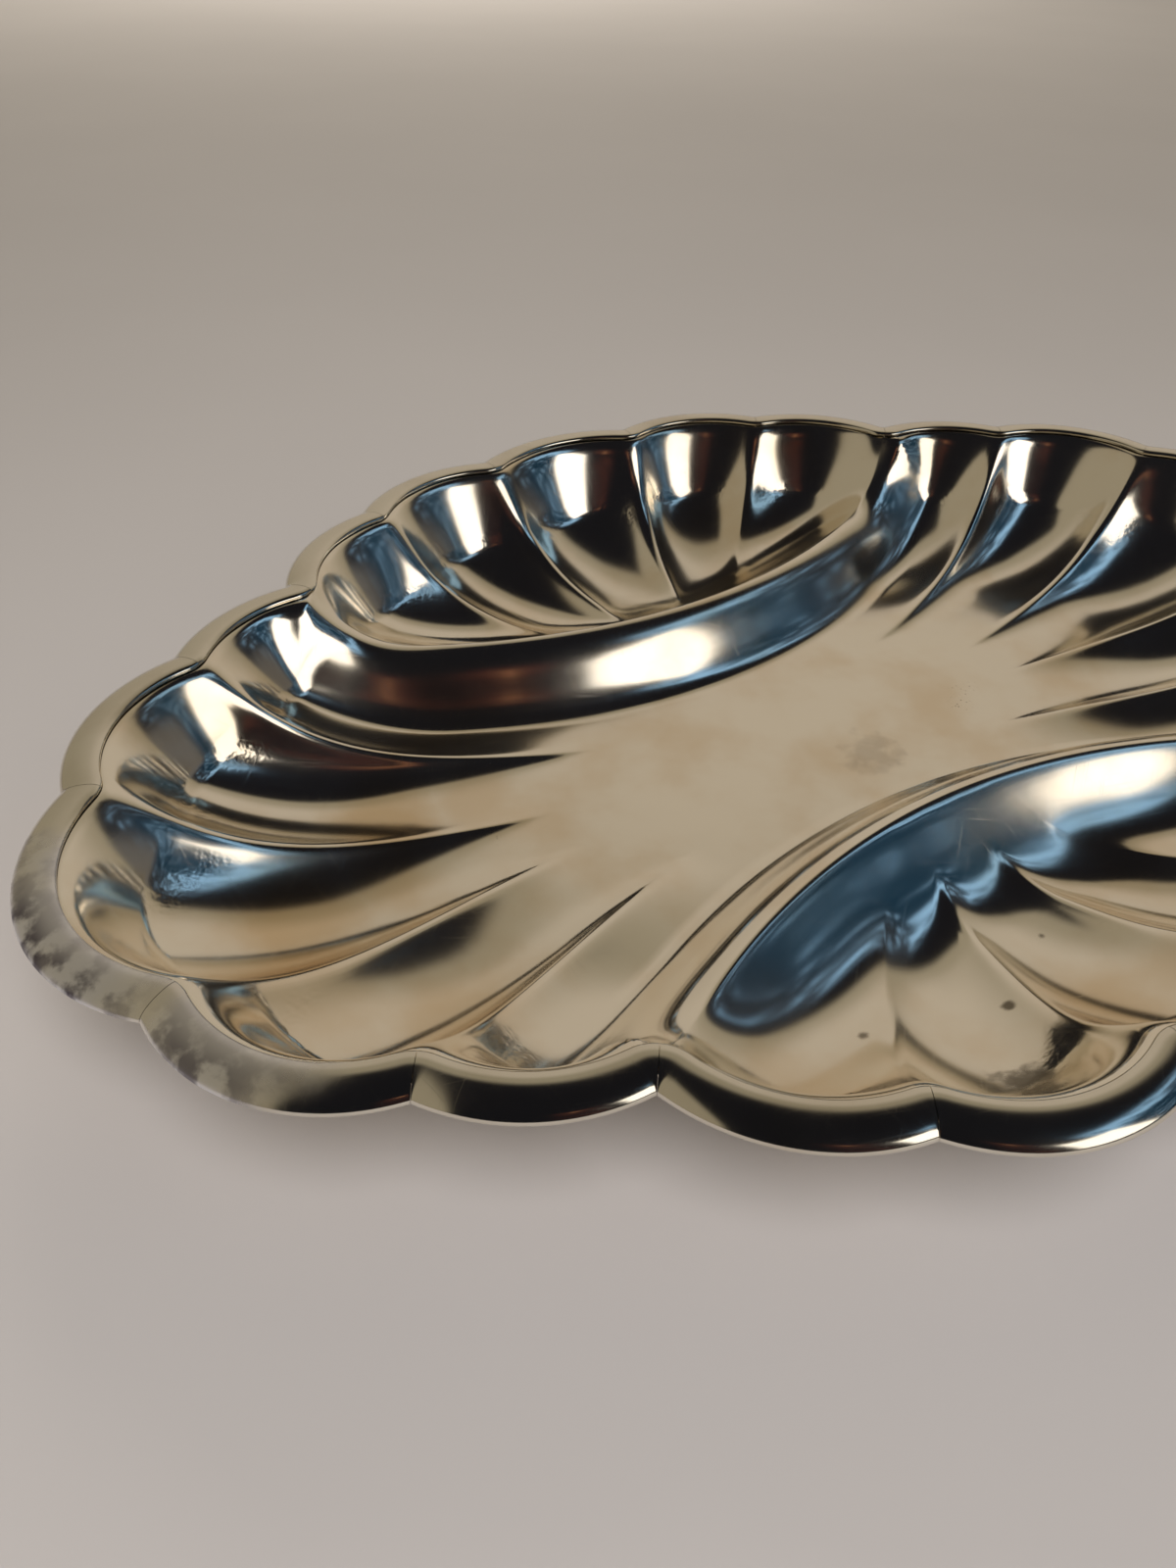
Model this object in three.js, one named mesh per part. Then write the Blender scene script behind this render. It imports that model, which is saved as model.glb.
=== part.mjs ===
// Divided serving platter in polished plated metal: one pressed sheet tray with shell flutes and two
// divider ridges, and a rounded border seated on the sheet's edge in mitred lengths, one for each scallop.
// The origin is under the middle of the floor, X runs along the platter, and Z is up.
import * as THREE from 'three';
import { mergeVertices } from 'three/addons/utils/BufferGeometryUtils.js';

// Driving dimensions, in millimetres and degrees.
const SHEET = 1.0; // thickness of the pressed sheet
const SEAT_HEIGHT = 32.0; // from the table up to the flat edge that carries the border

// Scallop cusps of one quarter, as radius and angle. The end fan has its own centre on the X axis, with
// angles from +X, and the side arc has its centre on the Y axis, with angles from +Y.
const FAN_CENTRE_X = 86.0;
const TIP_CUSP = { radius: 86.1, angle: 21.7 };
const SHOULDER_CUSP = { radius: 83.1, angle: 54.4 };
const DIVIDER_CUSP = { radius: 86.7, angle: 79.8 };
const SIDE_CENTRE_Y = -14.0;
const SIDE_CUSP = { radius: 144.9, angle: 28.7 };
const MIDDLE_CUSP = { radius: 142.0, angle: 10.2 };

// How far each scallop bulges past the straight line between its cusps, from the end of the platter round
// to the middle of its side.
const SCALLOP_BULGES = [13.9, 8.1, 4.5, 5.7, 7.3, 7.0];

// Border moulding, seated on the sheet's flat edge.
const BORDER_WIDTH = 8.2;
const BORDER_THICKNESS = 1.2; // at its crest
const BORDER_EDGE = 0.4; // at its inner edge
const BORDER_CREST_INSET = 6.2; // from the outline in to the crest
const SKIRT_DROP = 1.3; // how far the outer skirt hangs below the seat
const SKIRT_WALL = 2.8;
const SEAT_GAP = 0.3; // solder line under the border
const EDGE_GAP = 0.3; // between the skirt and the sheet's cut edge
const MITRE_GAP = 0.3; // between neighbouring lengths

// Flutes and the ridges between them.
const LIP_ROUNDING = 3.0;
const BRINK_RUN = 9.5; // the steep step under the rim, before a flute's long ramp
const BRINK_HEIGHT = 12.5;
const FLUTE_POWER = 2.2;
const RIDGE_RUN = 100.0; // a ridge drops steeply from the rim and goes on as a low rib
const RIB_HEIGHT = 7.7;
const RIM_ROUNDNESS = 2.0; // across the flute at the rim, where 2 is a parabola
const FLUTE_ROUNDNESS = 2.2; // farther in
const ROUNDING_RUN = 50.0;

// The two kinds of compartment: how far from the seat its flutes reach the floor and its ribs fade out, the
// power that steepens its ridges under the rim, how far from the crest the divider's foot reaches, and the
// power that spreads the foot.
const FAN = { fluteRun: 52.0, ribRun: 86.0, ridgePower: 5.5, foot: 19.0, footPower: 1.0 };
const SIDE = { fluteRun: 48.0, ribRun: 58.0, ridgePower: 8.5, foot: 28.0, footPower: 0.62 };

// Plan of the ridges. A fan ridge leaves the seat along its lead and ends on the waist line. A side ridge
// runs straight to its place on the divider's crest.
const TIP_RIDGE = { lead: [-45, -17], approach: [55, 2], waistY: 4 };
const SHOULDER_RIDGE = { lead: [-26, -23], approach: [45, 17], waistY: 14 };
const DIVIDER_CREST = { lead: [-30, -21.6], approach: [32, 47.2], waistY: 47.2 };
const SIDE_RIDGE_END_X = 15;
const MIDDLE_RIDGE_END_X = 5;
const CORNER_CROWDING = 1.3; // draws the spokes together towards the divider's end

// Divider ridge.
const DIVIDER_HEIGHT = 15.5; // crest above the floor
const DIVIDER_END_RUN = 30.0; // length of the crest's climb to the seat
const DIVIDER_END_POWER = 3.0;

// Facets.
const MITRE_STEPS = 1;
const ARC_STEPS = 6;
const WALL_STATIONS = [0, 1.6, 4, 8, 12.1, 17, 24, 32]; // distances from the seat
const FLOOR_SHARES = [0.14, 0.3, 0.48, 0.66, 0.84, 1]; // shares of what is left of a fan spoke
const SIDE_SHARES = [0, 0.03, 0.075, 0.13, 0.2, 0.29, 0.4, 0.52, 0.64, 0.75, 0.84, 0.92];
const BORDER_CREST_STEPS = 4;
const BORDER_EDGE_STEPS = 2;

const LOBE_STEPS = 2 * MITRE_STEPS + ARC_STEPS;
const FLOOR_TOP = SHEET;
const DEPTH = SEAT_HEIGHT - FLOOR_TOP;
const CREST_DROP = DEPTH - DIVIDER_HEIGHT;
const FLANGE_INSET = SKIRT_WALL + EDGE_GAP;
const UP = new THREE.Vector3(0, 0, 1);

const SILVER = new THREE.MeshStandardMaterial({ color: 0xcfc4b2, roughness: 0.16, metalness: 1 });
const BORDER_SILVER = new THREE.MeshStandardMaterial({ color: 0xc2b8a8, roughness: 0.24, metalness: 1 });

const radians = THREE.MathUtils.degToRad;
const lerp = THREE.MathUtils.lerp;
const heading = (angle) => new THREE.Vector2(Math.cos(angle), Math.sin(angle));

// Scalloped outline

function fanCusp({ radius, angle }) {
  return heading(radians(angle)).multiplyScalar(radius).add(new THREE.Vector2(FAN_CENTRE_X, 0));
}

function sideCusp({ radius, angle }) {
  return heading(radians(90 - angle)).multiplyScalar(radius).add(new THREE.Vector2(0, SIDE_CENTRE_Y));
}

// The twenty cusps, counter-clockwise from the one just above the X axis.
function outlineCusps() {
  const quarter = [
    fanCusp(TIP_CUSP),
    fanCusp(SHOULDER_CUSP),
    fanCusp(DIVIDER_CUSP),
    sideCusp(SIDE_CUSP),
    sideCusp(MIDDLE_CUSP),
  ];
  const back = quarter.map(({ x, y }) => new THREE.Vector2(-x, y)).reverse();
  const half = [...quarter, ...back];
  return [...half, ...half.map(({ x, y }) => new THREE.Vector2(-x, -y))];
}

const CUSPS = outlineCusps();
const LOBE_COUNT = CUSPS.length;
const HALF_TURN = LOBE_COUNT / 2;
const cuspAt = (index) => CUSPS[(index + LOBE_COUNT) % LOBE_COUNT];

// Lobe number n is the scallop that ends at cusp n: its arc's centre, radius and end directions.
function scallop(index) {
  const start = cuspAt(index - 1);
  const end = cuspAt(index);
  const place = index % HALF_TURN;
  const bulge = SCALLOP_BULGES[Math.min(place, HALF_TURN - place)];
  const chord = end.clone().sub(start);
  const outward = new THREE.Vector2(chord.y, -chord.x).normalize();
  const radius = (chord.lengthSq() / 4 + bulge * bulge) / (2 * bulge);
  const centre = start.clone().add(end).multiplyScalar(0.5).addScaledVector(outward, bulge - radius);
  const startAngle = start.clone().sub(centre).angle();
  const sweep = 2 * Math.asin(chord.length() / (2 * radius));
  return { start, end, centre, radius, startAngle, endAngle: startAngle + sweep };
}

const SCALLOPS = CUSPS.map((_, index) => scallop(index));
const scallopAt = (index) => SCALLOPS[(index + LOBE_COUNT) % LOBE_COUNT];

// The mitre at a cusp halves the angle between the outward directions of its two scallops.
function mitreAngle(index) {
  const before = heading(scallopAt(index).endAngle);
  const after = heading(scallopAt(index + 1).startAngle);
  return before.add(after).angle();
}

// The same direction as an angle, written within half a turn of the reference.
function nearTurn(angle, reference) {
  const difference = angle - reference;
  return reference + Math.atan2(Math.sin(difference), Math.cos(difference));
}

// A step of a lobe as the point that it turns about, the outward angle there and the turning radius. The
// first and last steps turn about the cusps, from the mitre to the arc's own end direction.
function lobeStep(index, step) {
  const lobe = scallopAt(index);
  if (step < MITRE_STEPS) {
    const mitre = nearTurn(mitreAngle(index - 1), lobe.startAngle);
    return { pivot: lobe.start, radius: 0, angle: lerp(mitre, lobe.startAngle, step / MITRE_STEPS) };
  }
  const past = step - MITRE_STEPS - ARC_STEPS;
  if (past > 0) {
    const mitre = nearTurn(mitreAngle(index), lobe.endAngle);
    return { pivot: lobe.end, radius: 0, angle: lerp(lobe.endAngle, mitre, past / MITRE_STEPS) };
  }
  const share = (step - MITRE_STEPS) / ARC_STEPS;
  return { pivot: lobe.centre, radius: lobe.radius, angle: lerp(lobe.startAngle, lobe.endAngle, share) };
}

// Plan point of a lobe's step, set in from the outline.
function rimPoint(index, step, inset) {
  const { pivot, radius, angle } = lobeStep(index, step);
  return pivot.clone().addScaledVector(heading(angle), radius - inset);
}

// How far a step lies across its lobe at the seat's inner edge, from 0 at its first cusp to 1 at its last.
function lobeShares(index) {
  const lengths = [0];
  for (let step = 1; step <= LOBE_STEPS; step += 1) {
    const from = rimPoint(index, step - 1, BORDER_WIDTH);
    lengths.push(lengths[step - 1] + from.distanceTo(rimPoint(index, step, BORDER_WIDTH)));
  }
  return lengths.map((length) => length / lengths[LOBE_STEPS]);
}

// Ridges in plan

const innerCusp = (index) => rimPoint(index, LOBE_STEPS, BORDER_WIDTH);

// Control points of a fan ridge or divider crest that starts at a cusp of the first quarter.
function ridgeControls(index, { lead, approach, waistY }) {
  const start = innerCusp(index);
  return [
    start,
    start.clone().add(new THREE.Vector2(...lead)),
    new THREE.Vector2(...approach),
    new THREE.Vector2(0, waistY),
  ];
}

const TIP_CONTROLS = ridgeControls(0, TIP_RIDGE);
const SHOULDER_CONTROLS = ridgeControls(1, SHOULDER_RIDGE);
const DIVIDER_CONTROLS = ridgeControls(2, DIVIDER_CREST);
const CREST = new THREE.CubicBezierCurve(...DIVIDER_CONTROLS);
const CREST_LENGTH = CREST.getLength();
const CREST_SAMPLES = 240;
const CREST_POINTS = CREST.getSpacedPoints(CREST_SAMPLES);

const mirrored = (controls) => controls.map(({ x, y }) => new THREE.Vector2(x, -y));

// The fan's ridges from one divider to the other, for its five lobes.
const FAN_CONTROLS = [
  mirrored(DIVIDER_CONTROLS),
  mirrored(SHOULDER_CONTROLS),
  mirrored(TIP_CONTROLS),
  TIP_CONTROLS,
  SHOULDER_CONTROLS,
  DIVIDER_CONTROLS,
];
const FAN_FIRST_LOBE = LOBE_COUNT - 2;
const SIDE_FIRST_LOBE = 3;
const COMPARTMENT_LOBES = 5;

// Places of a side compartment's ridges, in lobes out from its middle.
const MIDDLE_RIDGE_PLACE = 0.5;
const SIDE_RIDGE_PLACE = 1.5;

// Distance along the crest from its end at the seat to the place with this X.
function crestRunAtX(x) {
  const index = CREST_POINTS.findIndex((point) => point.x <= x);
  const before = CREST_POINTS[index - 1];
  const after = CREST_POINTS[index];
  const share = (before.x - x) / (before.x - after.x);
  return ((index - 1 + share) / CREST_SAMPLES) * CREST_LENGTH;
}

// Nearest place on either divider's crest: its distance and its run from the nearer end.
function nearestCrest({ x, y }) {
  const folded = new THREE.Vector2(Math.abs(x), Math.abs(y));
  let best = 0;
  CREST_POINTS.forEach((point, index) => {
    if (point.distanceToSquared(folded) < CREST_POINTS[best].distanceToSquared(folded)) best = index;
  });
  return { distance: CREST_POINTS[best].distanceTo(folded), run: (best / CREST_SAMPLES) * CREST_LENGTH };
}

// Heights

const fall = (run, length, power) => 1 - (1 - Math.min(run / length, 1)) ** power;
const crestHeight = (run) => SEAT_HEIGHT - CREST_DROP * fall(run, DIVIDER_END_RUN, DIVIDER_END_POWER);

// Height of the pressed sheet in a compartment: across is -1 and 1 on the lobe's two ridges, and a side that
// the divider bounds has no ridge of its own.
function sheetHeight({ fluteRun, ribRun, ridgePower, foot, footPower }, point, run, across, ridgeSides) {
  const eased = Math.hypot(run, LIP_ROUNDING) - LIP_ROUNDING;
  const flute = lerp(fall(eased, fluteRun, FLUTE_POWER), fall(eased, BRINK_RUN, 1), BRINK_HEIGHT / DEPTH);
  const ridge = lerp(fall(eased, RIDGE_RUN, ridgePower), fall(eased, ribRun, 1), RIB_HEIGHT / DEPTH);
  const roundness = lerp(RIM_ROUNDNESS, FLUTE_ROUNDNESS, Math.min(eased / ROUNDING_RUN, 1));
  const hasRidge = across < 0 ? ridgeSides[0] : ridgeSides[1];
  const shoulder = hasRidge ? Math.abs(across) ** roundness : 0;
  const bowl = SEAT_HEIGHT - DEPTH * lerp(flute, ridge, shoulder);
  const crest = nearestCrest(point);
  if (crest.distance >= foot) return bowl;
  const blend = (1 + Math.cos(Math.PI * (crest.distance / foot) ** footPower)) / 2;
  return lerp(bowl, crestHeight(crest.run), blend);
}

// Sheet surface

// Collects the sheet's upper surface, with one vertex for each plan point.
class Surface {
  constructor() {
    this.points = [];
    this.faces = [];
    this.known = new Map();
  }

  vertex({ x, y }, z) {
    const key = `${x.toFixed(3)} ${y.toFixed(3)}`.replaceAll('-0.000', '0.000');
    if (!this.known.has(key)) {
      this.known.set(key, this.points.length);
      this.points.push(new THREE.Vector3(x, y, z));
    }
    return this.known.get(key);
  }

  // Fills the strip between two rows of vertices, the first on the right of the second's direction. Each
  // step takes the shorter of the two diagonals.
  stitch(first, second) {
    const gap = (a, b) => this.points[a].distanceTo(this.points[b]);
    let i = 0;
    let j = 0;
    while (i < first.length - 1 || j < second.length - 1) {
      let stepFirst = j === second.length - 1;
      if (!stepFirst && i < first.length - 1) {
        stepFirst = gap(first[i + 1], second[j]) <= gap(first[i], second[j + 1]);
      }
      const apex = stepFirst ? first[i + 1] : second[j + 1];
      const face = [first[i], apex, second[j]];
      if (new Set(face).size === 3) this.faces.push(face);
      if (stepFirst) i += 1;
      else j += 1;
    }
  }
}

// Walks the lobes of a compartment and calls back with each step once, in order.
function eachSpoke(firstLobe, visit) {
  for (let lobe = 0; lobe < COMPARTMENT_LOBES; lobe += 1) {
    const shares = lobeShares(firstLobe + lobe);
    const ridgeSides = [lobe > 0, lobe < COMPARTMENT_LOBES - 1];
    for (let step = lobe === 0 ? 0 : 1; step <= LOBE_STEPS; step += 1) {
      const start = rimPoint(firstLobe + lobe, step, BORDER_WIDTH);
      visit({ lobe, share: shares[step], start, ridgeSides });
    }
  }
}

// A fan spoke's curve lies between the two ridges of its lobe and starts at its own place on the seat.
function fanSpoke({ lobe, share, start }) {
  const next = FAN_CONTROLS[lobe + 1];
  const controls = FAN_CONTROLS[lobe].map((point, index) => point.clone().lerp(next[index], share));
  const shift = start.clone().sub(controls[0]);
  controls[0].add(shift);
  controls[1].add(shift);
  return new THREE.CubicBezierCurve(...controls);
}

function fanStations(length) {
  const last = WALL_STATIONS[WALL_STATIONS.length - 1];
  return [...WALL_STATIONS, ...FLOOR_SHARES.map((share) => lerp(last, length, share))];
}

// Rows of one fan from the seat to the waist, on the side of +X or -X.
function addFan(surface, side) {
  const columns = [];
  eachSpoke(FAN_FIRST_LOBE, (spoke) => {
    const curve = fanSpoke(spoke);
    const length = curve.getLength();
    const column = fanStations(length).map((run) => {
      const point = curve.getPointAt(run / length);
      const z = sheetHeight(FAN, point, run, 2 * spoke.share - 1, spoke.ridgeSides);
      return surface.vertex(new THREE.Vector2(point.x * side, point.y), z);
    });
    columns.push(column);
  });
  for (let row = 1; row < columns[0].length; row += 1) {
    const outer = columns.map((column) => column[row - 1]);
    const inner = columns.map((column) => column[row]);
    if (side > 0) surface.stitch(outer, inner);
    else surface.stitch(inner, outer);
  }
}

// Run along the crest, from its nearer end, where a side spoke ends.
function sideSpokeEnd({ lobe, share }) {
  const middle = COMPARTMENT_LOBES / 2;
  const place = lobe + share;
  const outward = Math.abs(place - middle);
  const sideRun = crestRunAtX(SIDE_RIDGE_END_X);
  const middleRun = crestRunAtX(MIDDLE_RIDGE_END_X);
  let run = lerp(CREST_LENGTH, middleRun, outward / MIDDLE_RIDGE_PLACE);
  if (outward > SIDE_RIDGE_PLACE) run = sideRun * (middle - outward) ** CORNER_CROWDING;
  else if (outward > MIDDLE_RIDGE_PLACE) run = lerp(middleRun, sideRun, outward - MIDDLE_RIDGE_PLACE);
  const end = CREST.getPointAt(THREE.MathUtils.clamp(run / CREST_LENGTH, 0, 1));
  return new THREE.Vector2(end.x * Math.sign(middle - place), end.y);
}

// The crest's vertices from +X to -X, at the same stations as the fans' rows.
function crestRow(surface, side) {
  const runs = fanStations(CREST_LENGTH);
  const half = runs.map((run) => ({ point: CREST.getPointAt(run / CREST_LENGTH), z: crestHeight(run) }));
  const placed = (items, direction) => items.map(({ point, z }) => {
    const plan = new THREE.Vector2(point.x * direction, point.y * side);
    return surface.vertex(plan, z);
  });
  return [...placed(half, 1), ...placed(half.slice(0, -1).reverse(), -1)];
}

// Rows of one side compartment from the seat to the divider's crest, on the side of +Y or -Y.
function addSide(surface, side) {
  const columns = [];
  eachSpoke(SIDE_FIRST_LOBE, (spoke) => {
    const end = sideSpokeEnd(spoke);
    const length = spoke.start.distanceTo(end);
    const column = SIDE_SHARES.map((share) => {
      const point = spoke.start.clone().lerp(end, share);
      const z = sheetHeight(SIDE, point, share * length, 2 * spoke.share - 1, spoke.ridgeSides);
      return surface.vertex(new THREE.Vector2(point.x, point.y * side), z);
    });
    columns.push(column);
  });
  const rows = SIDE_SHARES.map((_, row) => columns.map((column) => column[row]));
  rows.push(crestRow(surface, side));
  for (let row = 1; row < rows.length; row += 1) {
    if (side > 0) surface.stitch(rows[row - 1], rows[row]);
    else surface.stitch(rows[row], rows[row - 1]);
  }
}

// Points of a whole row round the rim, set in from the outline.
function rimRow(inset) {
  const row = [];
  for (let lobe = 0; lobe < LOBE_COUNT; lobe += 1) {
    for (let step = 0; step < LOBE_STEPS; step += 1) row.push(rimPoint(lobe, step, inset));
  }
  return row;
}

// The flat edge that carries the border. Returns the vertices of its outer row, in order.
function addSeat(surface) {
  const outer = rimRow(FLANGE_INSET).map((point) => surface.vertex(point, SEAT_HEIGHT));
  const inner = rimRow(BORDER_WIDTH).map((point) => surface.vertex(point, SEAT_HEIGHT));
  surface.stitch([...outer, outer[0]], [...inner, inner[0]]);
  return outer;
}

// Closed solids

function closedGeometry(points, faces) {
  const geometry = new THREE.BufferGeometry();
  const positions = points.flatMap(({ x, y, z }) => [x, y, z]);
  geometry.setAttribute('position', new THREE.Float32BufferAttribute(positions, 3));
  geometry.setIndex(faces.flat());
  const merged = mergeVertices(geometry);
  merged.setIndex(wholeFaces(merged.index.array));
  merged.computeVertexNormals();
  return merged;
}

// Leaves out the faces that a cusp draws to a line.
function wholeFaces(indices) {
  const kept = [];
  for (let corner = 0; corner < indices.length; corner += 3) {
    const face = Array.from(indices.slice(corner, corner + 3));
    if (new Set(face).size === 3) kept.push(...face);
  }
  return kept;
}

function vertexNormals(points, faces) {
  const normals = points.map(() => new THREE.Vector3());
  faces.forEach(([a, b, c]) => {
    const along = points[b].clone().sub(points[a]);
    const normal = along.cross(points[c].clone().sub(points[a]));
    [a, b, c].forEach((index) => normals[index].add(normal));
  });
  return normals.map((normal) => normal.normalize());
}

// Gives an upper surface the sheet's thickness and closes it round its outer row.
function thickened({ points, faces }, outerRow) {
  const normals = vertexNormals(points, faces);
  const flat = new Set(outerRow);
  const under = points.map((point, index) => {
    const direction = flat.has(index) ? UP : normals[index];
    return point.clone().addScaledVector(direction, -SHEET);
  });
  const count = points.length;
  const walls = outerRow.flatMap((a, index) => {
    const b = outerRow[(index + 1) % outerRow.length];
    return [[a, a + count, b], [b, a + count, b + count]];
  });
  const underFaces = faces.map(([a, b, c]) => [a + count, c + count, b + count]);
  return closedGeometry([...points, ...under], [...faces, ...underFaces, ...walls]);
}

function pressedTray() {
  const surface = new Surface();
  const outerRow = addSeat(surface);
  addFan(surface, 1);
  addFan(surface, -1);
  addSide(surface, 1);
  addSide(surface, -1);
  const mesh = new THREE.Mesh(thickened(surface, outerRow), SILVER);
  mesh.name = 'pressed_tray';
  return mesh;
}

// Border section as inset from the outline and height: over the crest from the inner edge to the skirt's
// foot, and back along the underside.
function borderSection() {
  const base = SEAT_HEIGHT + SEAT_GAP;
  const crest = base + BORDER_THICKNESS;
  const foot = SEAT_HEIGHT - SKIRT_DROP;
  const section = [];
  for (let step = 0; step < BORDER_EDGE_STEPS; step += 1) {
    const turn = (Math.PI / 2) * (1 - step / BORDER_EDGE_STEPS);
    const inset = BORDER_CREST_INSET + (BORDER_WIDTH - BORDER_CREST_INSET) * Math.sin(turn);
    section.push([inset, base + BORDER_EDGE + (BORDER_THICKNESS - BORDER_EDGE) * Math.cos(turn)]);
  }
  for (let step = 0; step <= BORDER_CREST_STEPS; step += 1) {
    const turn = (Math.PI / 2) * (step / BORDER_CREST_STEPS);
    section.push([BORDER_CREST_INSET * (1 - Math.sin(turn)), foot + (crest - foot) * Math.cos(turn)]);
  }
  section.push([SKIRT_WALL, foot], [SKIRT_WALL, base], [BORDER_WIDTH, base]);
  return section;
}

// One length of border over a scallop, pulled back from both mitres by half of their gap.
function borderLength(index, name) {
  const section = borderSection();
  const count = section.length;
  const lobe = scallopAt(index);
  const chord = lobe.end.clone().sub(lobe.start).normalize();
  const points = [];
  for (let step = 0; step <= LOBE_STEPS; step += 1) {
    const share = THREE.MathUtils.clamp((step - MITRE_STEPS) / ARC_STEPS, 0, 1);
    const pull = MITRE_GAP * (0.5 - share);
    section.forEach(([inset, z]) => {
      const { x, y } = rimPoint(index, step, inset).addScaledVector(chord, pull);
      points.push(new THREE.Vector3(x, y, z));
    });
  }
  const faces = [];
  for (let step = 0; step < LOBE_STEPS; step += 1) {
    for (let corner = 0; corner < count; corner += 1) {
      const a = step * count + corner;
      const b = step * count + ((corner + 1) % count);
      faces.push([a, b, a + count], [b, b + count, a + count]);
    }
  }
  const outline = section.map(([inset, z]) => new THREE.Vector2(inset, z));
  THREE.ShapeUtils.triangulateShape(outline, []).forEach(([a, b, c]) => {
    const last = LOBE_STEPS * count;
    faces.push([a, c, b], [a + last, b + last, c + last]);
  });
  const mesh = new THREE.Mesh(closedGeometry(points, faces), BORDER_SILVER);
  mesh.name = name;
  return mesh;
}

// The border's lengths, five on each side of the platter, counted counter-clockwise.
function border() {
  const group = new THREE.Group();
  ['right', 'back', 'left', 'front'].forEach((place, quarter) => {
    for (let lobe = 0; lobe < COMPARTMENT_LOBES; lobe += 1) {
      const index = (FAN_FIRST_LOBE + quarter * COMPARTMENT_LOBES + lobe) % LOBE_COUNT;
      group.add(borderLength(index, `border_${place}_${lobe + 1}`));
    }
  });
  return group;
}

const platter = new THREE.Group();
platter.add(pressedTray(), border());

export default platter;
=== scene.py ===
"""Divided serving platter in worn silver plate: its fine surfaces, finishes, studio and camera.

Plan sizes are in millimetres and degrees. They become metres where a mesh or a tree takes them.
"""

import logging
import math
from dataclasses import dataclass, field
from enum import Enum
from typing import Callable, Iterable, Union

import bmesh
import bpy
import numpy as np
from mathutils import Matrix, Vector


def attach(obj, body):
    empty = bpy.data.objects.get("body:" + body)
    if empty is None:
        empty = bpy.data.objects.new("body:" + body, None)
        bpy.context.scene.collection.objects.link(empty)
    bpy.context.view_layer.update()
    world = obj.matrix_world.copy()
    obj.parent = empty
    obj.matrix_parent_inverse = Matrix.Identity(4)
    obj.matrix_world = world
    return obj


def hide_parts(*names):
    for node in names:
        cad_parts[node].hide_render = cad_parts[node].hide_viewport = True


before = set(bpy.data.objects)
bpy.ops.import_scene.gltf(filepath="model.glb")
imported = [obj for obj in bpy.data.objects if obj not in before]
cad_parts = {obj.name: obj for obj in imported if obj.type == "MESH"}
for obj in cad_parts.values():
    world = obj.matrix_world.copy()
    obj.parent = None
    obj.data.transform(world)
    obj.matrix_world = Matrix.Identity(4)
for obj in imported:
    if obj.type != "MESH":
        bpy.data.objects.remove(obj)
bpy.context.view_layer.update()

MM = 0.001
SEAT_HEIGHT = 32.0
VIEW_HEADING = 58.458
LOG = logging.getLogger("platter")
Value = Union[float, bpy.types.NodeSocket]
Colour = tuple[float, float, float]
Place = tuple[float, float, float]


class Quarter(Enum):
    """The four runs of border, in counter-clockwise order."""

    RIGHT = "right"
    BACK = "back"
    LEFT = "left"
    FRONT = "front"


def heading(angle: float) -> np.ndarray:
    """Unit plan vector at an angle in radians."""
    return np.array([math.cos(angle), math.sin(angle)])


def bearing(vector: np.ndarray) -> float:
    """Angle in radians of a plan vector."""
    return math.atan2(vector[1], vector[0])


def near_turn(angle: float, reference: float) -> float:
    """The same direction written within half a turn of a reference angle."""
    return reference + math.remainder(angle - reference, math.tau)


@dataclass(frozen=True)
class Polar:
    """A plan point by its radius in millimetres and its angle in degrees."""

    radius: float
    angle: float


@dataclass(frozen=True)
class Scallop:
    """One arc of the outline between two cusps."""

    start: np.ndarray
    end: np.ndarray
    centre: np.ndarray
    radius: float
    start_angle: float
    end_angle: float


@dataclass(frozen=True)
class RimSpot:
    """A place on the rim as the point that it turns about, the turning radius and the outward angle."""

    pivot: np.ndarray
    radius: float
    angle: float

    def inset(self, distance: float) -> np.ndarray:
        """Plan point this far in from the outline."""
        return self.pivot + heading(self.angle) * (self.radius - distance)


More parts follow.
